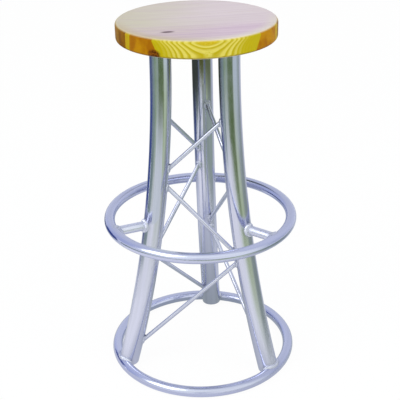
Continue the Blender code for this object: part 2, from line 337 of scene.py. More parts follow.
@dataclass(frozen=True)
class WeldMetal:
    """Frosted filler metal of a weld bead, with painted shade in its hollows and sharp corners."""

    name: str = "weld_metal"
    # The lilac-blue tint is painted reflection of a lilac-blue ceiling and sky.
    colour: Colour = (0.68, 0.70, 0.82)
    painted_hollow_shade: Colour = (0.26, 0.28, 0.36)
    crest_range: Pair = (0.25, 0.75)
    frost: Waves = Waves((900.0, 900.0, 900.0), 4.0, 0.6)
    frost_bump: Pair = (0.4, 0.00012)
    stain: Waves = Waves((140.0, 140.0, 140.0))
    stain_weight: float = 0.5
    stain_range: Pair = (0.3, 0.7)
    stain_gloss: Pair = (0.22, 0.42)

    def material(self) -> Material:
        """Build the finish.

        Returns:
            The material.
        """
        sheet = NodeSheet(bpy.data.materials.new(self.name))
        place = sheet.coordinates()
        stain = sheet.noise(place, self.stain)
        level = sheet.plus_times(sheet.attribute(STRAIGHT), stain, self.stain_weight)
        # Painted shade: low levels, in the ripples' hollows and in sharp corners, take the darker colour.
        tone = sheet.mix(sheet.ease(level, self.crest_range), self.painted_hollow_shade, self.colour)
        gloss = sheet.ease(stain, self.stain_range, self.stain_gloss)
        normal = sheet.bump(sheet.noise(place, self.frost), *self.frost_bump)
        return sheet.finish(tone, gloss, normal, METAL)


@dataclass(frozen=True)
class RolledSheet:
    """Rolled metal sheet or plated steel, with fine marks across it."""

    name: str
    colour: Colour
    roughness: float
    marks: Waves = Waves((40.0, 1600.0, 300.0), 3.0, 0.6)
    mark_bump: Pair = (0.4, 0.00004)
    stain: Waves = Waves((30.0, 30.0, 30.0), 4.0, 0.6)
    stain_range: Pair = (0.3, 0.7)
    stain_shade: float = 0.72
    stain_gloss: Pair = (1.3, 0.8)

    def material(self) -> Material:
        """Build the finish.

        Returns:
            The material.
        """
        sheet = NodeSheet(bpy.data.materials.new(self.name))
        place = sheet.coordinates()
        stain = sheet.noise(place, self.stain)
        patch = sheet.ease(stain, self.stain_range)
        tone = sheet.mix(patch, scaled(self.colour, self.stain_shade), self.colour)
        gloss = sheet.ease(stain, self.stain_range, scaled(self.stain_gloss, self.roughness))
        normal = sheet.bump(sheet.noise(place, self.marks), *self.mark_bump)
        return sheet.finish(tone, gloss, normal, METAL)


class Timber(Enum):
    """Colours of pine: early and late sapwood, sapwood beside the heart, early and late heartwood."""

    YELLOW = (
        (0.66, 0.57, 0.105),
        (0.44, 0.345, 0.001),
        (0.45, 0.36, 0.0),
        (0.45, 0.205, 0.0),
        (0.33, 0.115, 0.0),
    )
    BROWN = (
        (0.34, 0.18, 0.010),
        (0.25, 0.11, 0.001),
        (0.34, 0.18, 0.008),
        (0.25, 0.100, 0.0),
        (0.18, 0.065, 0.0),
    )


@dataclass(frozen=True)
class Fleck:
    """A knot or a resin pocket: its place along and across the grain and by height, and its reach.

    The growth rings swerve round it by a number of ring widths.
    """

    place: Triple
    reach: Triple
    edge_colour: Colour
    bark_colour: Colour
    swerve: float
    softness: float
    face_colour: Colour | None = None


@dataclass(frozen=True)
class Heart:
    """Heartwood between two slanting faces of a stave.

    Each face has its place across the grain at the seat's top, and its lean outwards on the way down.
    Both drift sideways along the grain by the slant.
    """

    front: float
    front_lean: float
    back: float
    back_lean: float
    slant: float


@dataclass(frozen=True)
class Pine:
    """Lacquered pine of one stave: growth rings round a pith that runs along the grain.

    The pith's place is measured across the grain and by height. The seat's flat faces are paler and
    pinkish, and its edge keeps the yellow of the lacquer, with a painted highlight along its upper
    rounding and painted shade on its lower one. A range is where a smooth step starts and ends: along
    or across the grain, away from the axis, or by how far the surface looks up.
    """

    LATE_WOOD: ClassVar[tuple[Pair, ...]] = (
        (0.0, 0.0),
        (0.36, 0.05),
        (0.60, 0.70),
        (0.80, 1.0),
        (0.93, 0.75),
        (1.0, 0.0),
    )
    LACQUER: ClassVar[dict[str, float]] = {
        "Specular IOR Level": 0.04,
        "Coat Weight": 0.02,
        "Coat Roughness": 0.16,
        "Coat IOR": 1.5,
    }

    name: str
    timber: Timber
    grain_angle: float
    top: float
    pith: Pair
    ring_width: float
    ring_start: float
    face_contrast: float
    heart: Heart | None = None
    flecks: tuple[Fleck, ...] = ()
    drift: Waves = Waves((9.0, 22.0, 22.0))
    drift_size: float = 0.0034
    swerve_range: Pair = (0.0, 3.2)
    weather_scale: float = 0.45
    weather_layers: float = 2.0
    weather_weight: float = 0.6
    heart_sway: float = 0.006
    heart_edge: Pair = (-0.0006, 0.0012)
    streaks: Waves = Waves((5.0, 52.0, 30.0))
    streak_range: Pair = (0.36, 0.64)
    ripe_range: Pair = (0.045, 0.058)
    ripe_cover: float = 0.92
    ripe_slant: float = 0.03
    behind_reach: float = 0.01
    behind_cover: float = 0.5
    torn: Waves = Waves((260.0, 260.0, 420.0), 2.0, 0.6)
    torn_range: Pair = (0.44, 0.62)
    cloud: Waves = Waves((7.0, 16.0, 16.0))
    fibre: Waves = Waves((16.0, 1100.0, 1100.0), 3.0, 0.6)
    fibre_shade: Colour = (0.22, 0.13, 0.0)
    fibre_range: Pair = (0.3, 0.8)
    fibre_cover: float = 0.12
    gloss_range: Pair = (0.3, 0.7)
    gloss: Pair = (0.36, 0.50)
    late_relief: float = 0.6
    relief_bump: Pair = (0.35, 0.00008)
    face_pink: Colour = (0.665, 0.575, 0.605)
    face_green: Colour = (0.575, 0.535, 0.425)
    pink_range: Pair = (-0.10, 0.16)
    pink_cloud: float = 0.16
    face_front: Colour = (0.97, 0.90, 1.0)
    front_range: Pair = (-0.100, -0.030)
    grain_bow: float = 0.4
    face_line: Colour = (0.48, 0.35, 0.47)
    broad_lines: Waves = Waves((2.4, 120.0, 1.0), 3.0, 0.6)
    broad_range: Pair = (0.40, 0.62)
    fine_lines: Waves = Waves((3.5, 420.0, 1.0))
    face_margin: Colour = (0.52, 0.43, 0.30)
    face_rim: Colour = (0.68, 0.62, 0.55)
    rim_range: Pair = (-0.10, 0.06)
    margin_reach: Pair = (0.145, 0.172)
    margin_range: Pair = (-0.06, 0.03)
    margin_cover: Pair = (0.75, 0.1)
    flat_range: Pair = (0.62, 0.985)
    # Painted shade: the edge's colour is darkened where it faces down, on the lower rounding.
    painted_under_shade: Colour = (0.55, 0.50, 0.32)
    under_range: Pair = (-0.75, -0.10)
    # Painted highlight: a pale cream band along the upper rounding of the edge, standing for the light it
    # catches.
    painted_rim_highlight: Colour = (0.76, 0.70, 0.42)
    highlight_range: Pair = (0.40, 0.80)
    highlight_fade: Pair = (0.86, 0.998)
    highlight_cover: float = 0.32

    def grain_place(self, sheet: NodeSheet) -> Socket:
        """Coordinates along the grain, across it and up."""
        inputs = {"Vector": sheet.coordinates(), "Rotation": (0.0, 0.0, -self.grain_angle)}
        return sheet.add("ShaderNodeMapping", inputs).outputs[0]

    def fleck_distance(self, sheet: NodeSheet, place: Socket, fleck: Fleck) -> Socket:
        """Distance from a fleck's heart, where 1 is its rim."""
        shift = sheet.vector("SUBTRACT", place, fleck.place)
        return sheet.vector("LENGTH", sheet.vector("DIVIDE", shift, fleck.reach))

    def pith_distance(self, sheet: NodeSheet, place: Socket, distances: Sequence[Socket]) -> Socket:
        """Distance from the pith, with the drift of a grown trunk.

        Args:
            sheet: Material that is being built.
            place: Coordinates in the grain's frame.
            distances: Distance from each fleck, which the rings swerve round.

        Returns:
            The distance in metres.
        """
        size = self.drift_size
        drift = sheet.noise(place, self.drift, "Color")
        drift = sheet.vector("MULTIPLY_ADD", drift, (0.0, size, size), (0.0, -size / 2, -size / 2))
        shift = sheet.vector("SUBTRACT", place, (0.0, *self.pith))
        shift = sheet.vector("MULTIPLY", sheet.vector("ADD", shift, drift), (0.0, 1.0, 1.0))
        radius = sheet.vector("LENGTH", shift)
        for fleck, distance in zip(self.flecks, distances):
            push = sheet.ease(distance, self.swerve_range, (fleck.swerve * self.ring_width, 0.0))
            radius = sheet.number("ADD", radius, push)
        return radius

    def late_wood(self, sheet: NodeSheet, radius: Socket) -> Socket:
        """Share of late wood in the growth rings, with wide and narrow years.

        Args:
            sheet: Material that is being built.
            radius: Distance from the pith.

        Returns:
            The share, from 0 to 1.
        """
        years = sheet.number("SUBTRACT", radius, self.ring_start)
        years = sheet.number("DIVIDE", years, self.ring_width)
        inputs = {"W": years, "Scale": self.weather_scale, "Detail": self.weather_layers}
        weather = sheet.add("ShaderNodeTexNoise", inputs, noise_dimensions="1D").outputs[0]
        year = sheet.number("FRACT", sheet.plus_times(years, weather, self.weather_weight))
        return sheet.ramp(year, self.LATE_WOOD)

    def heart_cover(self, sheet: NodeSheet, place: Socket, cloud: Socket) -> Value:
        """How far a point lies in the heartwood.

        Args:
            sheet: Material that is being built.
            place: Coordinates in the grain's frame.
            cloud: Broad noise, by which the heartwood sways.

        Returns:
            The cover, from 0 to 1.
        """
        if self.heart is None:
            return 0.0
        parts = sheet.parts(place)
        depth = sheet.number("SUBTRACT", self.top, parts["Z"])
        sway = sheet.plus_times(-self.heart_sway / 2, cloud, self.heart_sway)
        sway = sheet.plus_times(sway, parts["X"], -self.heart.slant)
        across = sheet.number("ADD", parts["Y"], sway)
        front = sheet.number("SUBTRACT", across, self.heart.front)
        front = sheet.plus_times(front, depth, self.heart.front_lean)
        back = sheet.number("SUBTRACT", self.heart.back, across)
        back = sheet.plus_times(back, depth, self.heart.back_lean)
        return sheet.ease(sheet.number("MINIMUM", front, back), self.heart_edge)

    def edge_tone(
        self, sheet: NodeSheet, place: Socket, late: Socket, radius: Socket, cloud: Socket
    ) -> Socket:
        """Colour of the seat's edge: paler sapwood away from the heart, and streaked heartwood.

        Args:
            sheet: Material that is being built.
            place: Coordinates in the grain's frame.
            late: Share of late wood.
            radius: Distance from the pith.
            cloud: Broad noise.

        Returns:
            The colour.
        """
        early_sap, late_sap, ripe_sap, early_heart, late_heart = self.timber.value
        parts = sheet.parts(place)
        sap = sheet.mix(late, early_sap, late_sap)
        ripe = sheet.plus_times(radius, parts["X"], -self.ripe_slant)
        sap = sheet.mix(sheet.ease(ripe, self.ripe_range, (self.ripe_cover, 0.0)), sap, ripe_sap)
        if self.heart is not None:
            back = (self.heart.back - self.behind_reach, self.heart.back + self.behind_reach)
            behind = sheet.ease(parts["Y"], back, (0.0, self.behind_cover))
            sap = sheet.mix(behind, sap, early_heart)
        streak = sheet.ease(sheet.noise(place, self.streaks), self.streak_range)
        heart = sheet.mix(streak, early_heart, late_heart)
        return sheet.mix(self.heart_cover(sheet, place, cloud), sap, heart)

    def face_tone(self, sheet: NodeSheet, place: Socket, late: Socket, cloud: Socket) -> Socket:
        """Colour of the seat's face: greener at one end, lilac and lined in front, tan to cream near the
        rim in front.

        Args:
            sheet: Material that is being built.
            place: Coordinates in the grain's frame.
            late: Share of late wood.
            cloud: Broad noise.

        Returns:
            The colour.
        """
        parts = sheet.parts(place)
        lean = sheet.plus_times(parts["X"], cloud, self.pink_cloud)
        face = sheet.mix(sheet.ease(lean, self.pink_range), self.face_green, self.face_pink)
        bow = sheet.times(sheet.times(parts["X"], parts["X"]), -self.grain_bow)
        bowed = sheet.vector("ADD", place, sheet.add("ShaderNodeCombineXYZ", {1: bow}).outputs[0])
        front = sheet.ease(sheet.number("ADD", parts["Y"], bow), self.front_range, (1.0, 0.0))
        face = sheet.mix(front, face, self.face_front, "MULTIPLY")
        broad = sheet.ease(sheet.noise(bowed, self.broad_lines), self.broad_range)
        fine = sheet.number("MAXIMUM", late, sheet.noise(bowed, self.fine_lines))
        drawn = sheet.times(sheet.times(broad, fine), self.face_contrast)
        face = sheet.mix(drawn, face, self.face_line)
        margin = sheet.mix(sheet.ease(parts["X"], self.rim_range), self.face_margin, self.face_rim)
        reach = sheet.vector("LENGTH", sheet.vector("MULTIPLY", place, (1.0, 1.0, 0.0)))
        share = sheet.ease(parts["Y"], self.margin_range, self.margin_cover)
        cover = sheet.times(sheet.ease(reach, self.margin_reach), share)
        return sheet.mix(cover, face, margin)

    def spot(self, sheet: NodeSheet, place: Socket, fleck: Fleck) -> Socket:
        """Colour of a fleck on the seat's edge, with torn fibres."""
        torn = sheet.ease(sheet.noise(place, self.torn), self.torn_range)
        return sheet.mix(torn, fleck.edge_colour, fleck.bark_colour)

    def material(self) -> Material:
        """Build the finish.

        Returns:
            The material.
        """
        sheet = NodeSheet(bpy.data.materials.new(self.name))
        place = self.grain_place(sheet)
        distances = [self.fleck_distance(sheet, place, fleck) for fleck in self.flecks]
        radius = self.pith_distance(sheet, place, distances)
        late = self.late_wood(sheet, radius)
        fibre = sheet.noise(place, self.fibre)
        cloud = sheet.noise(place, self.cloud)
        edge = self.edge_tone(sheet, place, late, radius, cloud)
        face = self.face_tone(sheet, place, late, cloud)
        for fleck, distance in zip(self.flecks, distances):
            rim = (1.0 - fleck.softness, 1.0 + fleck.softness)
            cover = sheet.ease(distance, rim, (1.0, 0.0))
            edge = sheet.mix(cover, edge, self.spot(sheet, place, fleck))
            if fleck.face_colour is not None:
                face = sheet.mix(cover, face, fleck.face_colour)
        upward = sheet.parts(sheet.coordinates("Normal"))["Z"]
        # Painted shade on the lower rounding, where the edge faces down.
        under = sheet.ease(upward, self.under_range, (1.0, 0.0))
        edge = sheet.mix(under, edge, self.painted_under_shade, "MULTIPLY")
        flat = sheet.ease(sheet.number("ABSOLUTE", upward), self.flat_range)
        tone = sheet.mix(flat, edge, face)
        # Painted highlight along the upper rounding of the edge, faded out before the flat face.
        highlight_fade = sheet.ease(upward, self.highlight_fade, (self.highlight_cover, 0.0))
        painted_highlight = sheet.times(sheet.ease(upward, self.highlight_range), highlight_fade)
        tone = sheet.mix(painted_highlight, tone, self.painted_rim_highlight)
        dark = sheet.ease(fibre, self.fibre_range, (0.0, self.fibre_cover))
        tone = sheet.mix(dark, tone, self.fibre_shade)
        gloss = sheet.ease(fibre, self.gloss_range, self.gloss)
        normal = sheet.bump(sheet.plus_times(fibre, late, self.late_relief), *self.relief_bump)
        return sheet.finish(tone, gloss, normal, self.LACQUER)


def link(name: str, data: bpy.types.ID) -> Piece:
    """Put a mesh, a camera or a lamp in the scene as an object of its own.

    Args:
        name: Name of the object.
        data: What it shows.

    Returns:
        The object.
    """
    piece = bpy.data.objects.new(name, data)
    bpy.context.scene.collection.objects.link(piece)
    return piece


def mark(mesh: Mesh, name: str, values: Array) -> None:
    """Give every point of a mesh a number or a vector.

    Args:
        mesh: Mesh to mark.
        name: Name of the attribute.
        values: A row of numbers, or rows of three.
    """
    kind, key = ("FLOAT", "value") if values.ndim == 1 else ("FLOAT_VECTOR", "vector")
    attribute = mesh.attributes.new(name, kind, "POINT")
    attribute.data.foreach_set(key, values.astype(np.float32).ravel())


def settle(name: str, shape: Shape) -> Mesh:
    """Turn a shape into a mesh.

    Args:
        name: Name of the mesh.
        shape: The shape, which is used up.

    Returns:
        The mesh.
    """
    mesh = bpy.data.meshes.new(name)
    shape.to_mesh(mesh)
    shape.free()
    return mesh


def shade(mesh: Mesh, sharp_degrees: float) -> Mesh:
    """Shade a mesh smoothly apart from its sharp edges.

    Args:
        mesh: Mesh to shade.
        sharp_degrees: Bend from which an edge is sharp.

    Returns:
        The same mesh.
    """
    mesh.shade_smooth()
    mesh.set_sharp_from_angle(angle=math.radians(sharp_degrees))
    return mesh


def face_outwards(shape: Shape) -> None:
    """Turn a closed shape's faces so that they look outwards."""
    bmesh.ops.recalc_face_normals(shape, faces=shape.faces)


def turned(profile: Sequence[Pair], steps: int) -> Shape:
    """Turn an outline about the upright axis.

    Args:
        profile: Radius and height of each of its points.
        steps: Number of steps round the axis.

    Returns:
        The turned body.
    """
    shape = bmesh.new()
    points = [shape.verts.new((radius, 0.0, height)) for radius, height in profile]
    edges = [shape.edges.new(pair) for pair in zip(points, points[1:])]
    bmesh.ops.spin(
        shape,
        geom=points + edges,
        cent=(0.0, 0.0, 0.0),
        axis=UP,
        angle=math.tau,
        steps=steps,
        use_merge=True,
    )
    bmesh.ops.remove_doubles(shape, verts=shape.verts, dist=MERGE_DISTANCE)
    return shape


def enlist(piece: Piece, material: Material, slot: Slot, *nodes: str) -> None:
    """Dress a piece and tie it to the frame.

    Args:
        piece: Object to place in the model.
        material: Its finish.
        slot: Material slot of the imported record that the finish belongs to; not used.
        nodes: Solids that it stands for.
    """
    piece.data.materials.clear()
    piece.data.materials.append(material)
    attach(piece, BODY)
    if nodes:
        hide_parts(*nodes)
    LOG.info("%s, %d faces", piece.name, len(piece.data.polygons))


class Draft:
    """Points, faces and straightened coordinates of a piece before it becomes a mesh."""

    SHARP_DEGREES = 38.0

    def __init__(self) -> None:
        """Start with nothing."""
        self.points: list[Array] = []
        self.straight: list[Array] = []
        self.faces: list[list[int]] = []
        self.count = 0

    def add_grid(self, points: Array, straight: Array, looped: bool = False) -> Array:
        """Add rings of points and join each to the next.

        Args:
            points: Places, by ring and by number round the ring.
            straight: The same points as if the piece were straight.
            looped: Whether the last ring joins the first.

        Returns:
            The points' numbers, by ring and by number round the ring.
        """
        rings, sides = points.shape[:2]
        numbers = self.count + np.arange(rings * sides).reshape(rings, sides)
        self.points.append(points.reshape(-1, 3))
        self.straight.append(straight.reshape(-1, 3))
        self.count += rings * sides
        for ring in range(rings - 1):
            self.bridge(numbers[ring], numbers[ring + 1])
        if looped:
            self.bridge(numbers[-1], numbers[0])
        return numbers

    def bridge(self, first: Array, second: Array) -> None:
        """Join two rings of points by a band of faces."""
        corners = [first, np.roll(first, -1), np.roll(second, -1), second]
        self.faces.extend(np.stack(corners, -1).tolist())

    def cap(self, rings: Array) -> None:
        """Close the first and the last ring by a face each."""
        self.faces.extend((rings[0].tolist(), rings[-1].tolist()))

    def build(self, name: str) -> Piece:
        """Make the piece.

        Args:
            name: Name of the piece.

        Returns:
            The object, linked to the scene.
        """
        mesh = bpy.data.meshes.new(name)
        mesh.from_pydata(np.concatenate(self.points).tolist(), [], self.faces)
        shape = bmesh.new()
        shape.from_mesh(mesh)
        face_outwards(shape)
        shape.to_mesh(mesh)
        shape.free()
        mark(mesh, STRAIGHT, np.concatenate(self.straight))
        return link(name, shade(mesh, self.SHARP_DEGREES))


def circle_angles(sides: int) -> Array:
    """Evenly spaced angles round a circle."""
    return np.arange(sides) * math.tau / sides


def unit(vectors: Array) -> Array:
    """Vectors made one long."""
    return vectors / np.linalg.norm(vectors, axis=-1, keepdims=True)


def smooth(values: Array) -> Array:
    """Smooth step from 0 to 1."""
    values = np.clip(values, 0.0, 1.0)
    return values * values * (3.0 - 2.0 * values)


def joined(*columns: Array) -> Array:
    """Points from their three columns, each spread over the shape of all."""
    return np.stack(np.broadcast_arrays(*columns), -1)


def straightened(radius: float, turn: Array, along: Array) -> Array:
    """Points of a tube as if it were straight, from angles round it and lengths along it."""
    return joined(radius * np.cos(turn), radius * np.sin(turn), along)


def along_wall(directions: Array, wall: Array) -> Array:
    """Directions laid flat on a wall, given the wall's own directions outwards."""
    return unit(directions - (directions * wall).sum(1, keepdims=True) * wall)


def zero_between(value: Callable[[Array], Array], clear: Array, sunk: Array) -> Array:
    """Where a value falls to zero, by halving.

    Args:
        value: Function of a position, positive at `clear` and negative at `sunk`.
        clear: Positions outside.
        sunk: Positions inside.

    Returns:
        The positions at which the value is zero.
    """
    for _ in range(HALVINGS):
        middle = (clear + sunk) / 2
        outside = value(middle) > 0
        clear = np.where(outside, middle, clear)
        sunk = np.where(outside, sunk, middle)
    return clear


class TubeLine:
    """Centre line of a bent tube."""

    tube_radius: float

    def distance(self, points: Array) -> Array:
        """Distance of points from the centre line."""
        raise NotImplementedError

    def normal(self, points: Array) -> Array:
        """Direction straight out of the tube at points near it."""
        raise NotImplementedError

    def onto(self, points: Array) -> Array:
        """Points near the tube moved straight onto its wall."""
        return points + (self.tube_radius - self.distance(points))[..., None] * self.normal(points)


@dataclass(frozen=True)
class RingLine(TubeLine):
    """Centre line of a ring of tube about the stool's axis."""

    height: float
    radius: float
    tube_radius: float

    def surface(self, around: Array, turn: Array, radius: float | Array) -> Array:
        """Points round the centre line, none of them below the floor.

        Args:
            around: Angles about the stool's axis.
            turn: Angles round the tube, where 0 faces away from the axis.
            radius: Distance from the centre line.

        Returns:
            The points.
        """
        reach = self.radius + radius * np.cos(turn)
        rise = np.maximum(self.height + radius * np.sin(turn), 0.0)
        return joined(reach * np.cos(around), reach * np.sin(around), rise)

    def distance(self, points: Array) -> Array:
        """Distance of points from the centre line."""
        reach = np.hypot(points[..., 0], points[..., 1])
        return np.hypot(reach - self.radius, points[..., 2] - self.height)

    def normal(self, points: Array) -> Array:
        """Direction straight out of the tube at points near it."""
        around = np.arctan2(points[..., 1], points[..., 0])
        return unit(points - self.surface(around, np.zeros_like(around), 0.0))


@dataclass(frozen=True)
class LegLine(TubeLine):
    """Centre line of a leg: upright under the seat, then one even bend out to the floor.

    The angle is about the stool's axis from +X, and a length along is measured from the leg's top.
    """

    angle: float
    top: float
    upright: float
    circle_radius: float
    bend_radius: float
    tube_radius: float

    def placed(self, reach: Array, aside: Array, height: Array) -> Array:
        """Points, or directions, from what they are outwards of the stool's axis, sideways and up."""
        cos, sin = math.cos(self.angle), math.sin(self.angle)
        return joined(reach * cos - aside * sin, reach * sin + aside * cos, height)

    def surface(self, along: Array, turn: Array, radius: float) -> Array:
        """Points round the centre line.

        Args:
            along: Lengths along the leg.
            turn: Angles round the tube, where 0 faces away from the stool's axis.
            radius: Distance from the centre line.

        Returns:
            The points.
        """
        bend = np.maximum(along - self.upright, 0.0) / self.bend_radius
        reach = self.circle_radius + self.bend_radius * (1.0 - np.cos(bend))
        height = self.top - np.minimum(along, self.upright) - self.bend_radius * np.sin(bend)
        outward, aside = radius * np.cos(turn), radius * np.sin(turn)
        return self.placed(reach + outward * np.cos(bend), aside, height + outward * np.sin(bend))

    def along_at(self, height: float) -> float:
        """Length along the leg at which its centre line has a height."""
        drop = self.top - self.upright - height
        return self.upright + self.bend_radius * math.asin(drop / self.bend_radius)

    def at_height(self, height: float) -> Array:
        """Point of the centre line at a height."""
        return self.surface(np.array(self.along_at(height)), np.array(0.0), 0.0)

    def offset(self, points: Array) -> tuple[Array, Array, Array]:
        """How far points lie from the centre line.

        Args:
            points: Points near the leg.

        Returns:
            Distance outwards, distance sideways, and the bend's angle there.
        """
        cos, sin = math.cos(self.angle), math.sin(self.angle)
        reach = points[..., 0] * cos + points[..., 1] * sin
        aside = points[..., 1] * cos - points[..., 0] * sin
        drop = np.maximum(self.top - self.upright - points[..., 2], 0.0)
        inward = self.circle_radius + self.bend_radius - reach
        return self.bend_radius - np.hypot(inward, drop), aside, np.arctan2(drop, inward)

    def distance(self, points: Array) -> Array:
        """Distance of points from the centre line."""
        outward, aside, _ = self.offset(points)
        return np.hypot(outward, aside)

    def normal(self, points: Array) -> Array:
        """Direction straight out of the leg at points near it."""
        outward, aside, bend = self.offset(points)
        return unit(self.placed(outward * np.cos(bend), aside, outward * np.sin(bend)))


@dataclass
class Weld:
    """A fillet of filler metal in the corner between a bar and a wall, with the ripples of a hand-fed weld.

    Each toe gives the fillet's edge on the bar or on the wall for its size at every point of the corner.
    The torch can't reach into a sharp corner, so the fillet shrinks there and is painted dark there, as
    shade in the crevice. An open fillet tapers at its ends.
    """

    name: str
    corner: Array
    bar_toe: Callable[[Array], Array]
    wall_toe: Callable[[Array], Array]
    slot: Slot
    size: float
    closed: bool = True
    ripple: float = 0.0023
    fewest_ripples: int = 3
    ripple_power: float = 0.7
    bulge: float = 0.30
    relief: float = 0.55
    bow: float = 0.7
    sink: float = 0.0004
    root: float = 0.0009
    steps: int = 10
    swing: float = 0.06
    swing_waves: int = 5
    sharp_corner: Pair = (0.30, 0.72)
    sharp_size: float = 0.42
    painted_crevice_shade: float = 1.6
    end_power: int = 8
    end_size: float = 0.1

    def places(self) -> tuple[Array, float]:
        """Measure along the corner.

        Returns:
            Length along it at each of its points, and its whole length.
        """
        following = np.roll(self.corner, -1, 0)
        if not self.closed:
            following[-1] = self.corner[-1]
        lengths = np.linalg.norm(following - self.corner, axis=1)
        return np.concatenate([[0.0], np.cumsum(lengths)[:-1]]), lengths.sum()

    def uneven_size(self, share: Array, chance: np.random.Generator) -> Array:
        """Size of the fillet at each point, as uneven as one made by hand.

        Args:
            share: Place along the corner, from 0 to 1.
            chance: Source of the unevenness.

        Returns:
            The sizes.
        """
        waves = np.arange(1, self.swing_waves + 1)
        swing = chance.normal(0.0, self.swing, len(waves)) / waves**0.5
        lag = chance.uniform(0.0, math.tau, len(waves))
        return self.size * (1.0 + (swing * np.sin(math.tau * share[:, None] * waves + lag)).sum(1))

    def build(self, finish: Material, chance: np.random.Generator) -> None:
        """Make the fillet.

        Args:
            finish: Material of the fillet.
            chance: Source of its unevenness.
        """
        place, whole = self.places()
        share = place / whole
        size = self.uneven_size(share, chance)
        on_bar = unit(self.bar_toe(size) - self.corner)
        on_wall = unit(self.wall_toe(size) - self.corner)
        low, high = self.sharp_corner
        sharp = smooth(((on_bar * on_wall).sum(1) - low) / (high - low))
        size = size * (1.0 - (1.0 - self.sharp_size) * sharp)
        if not self.closed:
            taper = np.clip(1.0 - (2.0 * share - 1.0) ** self.end_power, 0.0, 1.0)
            size = size * np.maximum(np.sqrt(taper), self.end_size)
        crown = unit(on_bar + on_wall)[:, None]
        across = np.linspace(0.0, 1.0, self.steps)[None, :]
        arch = 4.0 * across * (1.0 - across)
        ripples = max(round(whole / self.ripple), self.fewest_ripples)
        beat = np.sin(math.pi * (ripples * share[:, None] + self.bow * arch))
        crest = np.abs(beat) ** self.ripple_power
        start, end = self.bar_toe(size)[:, None], self.wall_toe(size)[:, None]
        rise = size[:, None] * self.bulge * arch * (1.0 - self.relief + self.relief * crest) - self.sink
        face = start + (end - start) * across[..., None] + rise[..., None] * crown
        points = np.concatenate([face, self.corner[:, None] - self.root * crown], axis=1)
        # Painted shade: the level drops in sharp corners, so the bead's finish paints the crevice dark.
        level = np.concatenate([crest, crest[:, :1]], axis=1) * (1.0 - self.painted_crevice_shade * sharp[:, None])
        draft = Draft()
        rings = draft.add_grid(points, np.repeat(level[..., None], 3, axis=2), looped=self.closed)
        if not self.closed:
            draft.cap(rings)
        enlist(draft.build(self.name), finish, self.slot)


class End(Enum):
    """The two ends of a bar."""

    FIRST = "start"
    LAST = "end"


class Level(Enum):
    """The lacing rods of a face, from the seat down."""

    UPPER = "upper"
    MIDDLE = "middle"
    LOWER = "lower"


@dataclass
class Bar:
    """A round bar between two tubes, coped to both and welded to them.

    It runs from a point inside the one tube to a point inside the other. The offset shifts its
    straightened coordinates, so that no two bars look alike.
    """

    node: str
    name: str
    weld_name: str
    slot: Slot
    radius: float
    weld_size: float
    offset: float
    gap: float
    start: Array
    end: Array
    start_line: TubeLine
    end_line: TubeLine
    sides: int = 28
    rows: int = 48
    weld_points: int = 200

    def __post_init__(self) -> None:
        """Work out the bar's length, and its directions ahead, across and up."""
        self.length = np.linalg.norm(self.end - self.start)
        self.ahead = (self.end - self.start) / self.length
        self.across = unit(np.cross(self.ahead, np.array(UP)))
        self.upward = np.cross(self.across, self.ahead)

    def out(self, turn: Array) -> Array:
        """Directions straight out of the bar at angles round it."""
        return np.cos(turn)[..., None] * self.across + np.sin(turn)[..., None] * self.upward

    def surface(self, along: Array, turn: Array) -> Array:
        """Points of the bar's surface, from lengths along it and angles round it."""
        return self.start + along[..., None] * self.ahead + self.radius * self.out(turn)

    def meeting(self, end: End, turn: Array) -> Array:
        """Where the bar's surface meets a tube.

        Args:
            end: Which end of the bar.
            turn: Angles round the bar.

        Returns:
            Lengths along the bar at those angles.
        """
        line, sunk = (self.start_line, 0.0) if end is End.FIRST else (self.end_line, self.length)
        reach = line.tube_radius + self.gap
        clear, buried = np.full_like(turn, self.length / 2), np.full_like(turn, sunk)
        return zero_between(lambda along: line.distance(self.surface(along, turn)) - reach, clear, buried)

    def build(self) -> Piece:
        """Make the bar, with its points closer together towards its ends.

        Returns:
            The bar.
        """
        turn = circle_angles(self.sides)
        first, last = self.meeting(End.FIRST, turn), self.meeting(End.LAST, turn)
        share = (1.0 - np.cos(np.linspace(0.0, math.pi, self.rows)))[:, None] / 2
        along = first + (last - first) * share
        straight = straightened(self.radius, turn, along + self.offset)
        draft = Draft()
        draft.cap(draft.add_grid(self.surface(along, turn), straight))
        return draft.build(self.name)

    def weld(self, end: End) -> Weld:
        """Work out the fillet round an end of the bar.

        Args:
            end: Which end of the bar.

        Returns:
            The fillet.
        """
        turn = circle_angles(self.weld_points)
        corner = self.surface(self.meeting(end, turn), turn)
        line, away = (self.start_line, self.ahead) if end is End.FIRST else (self.end_line, -self.ahead)
        slide = along_wall(self.out(turn), line.normal(corner))
        return Weld(
            name=f"{self.weld_name}_{end.value}",
            corner=corner,
            bar_toe=lambda size: corner + size[:, None] * away,
            wall_toe=lambda size: line.onto(corner + size[:, None] * slide),
            slot=self.slot,
            size=self.weld_size,
        )


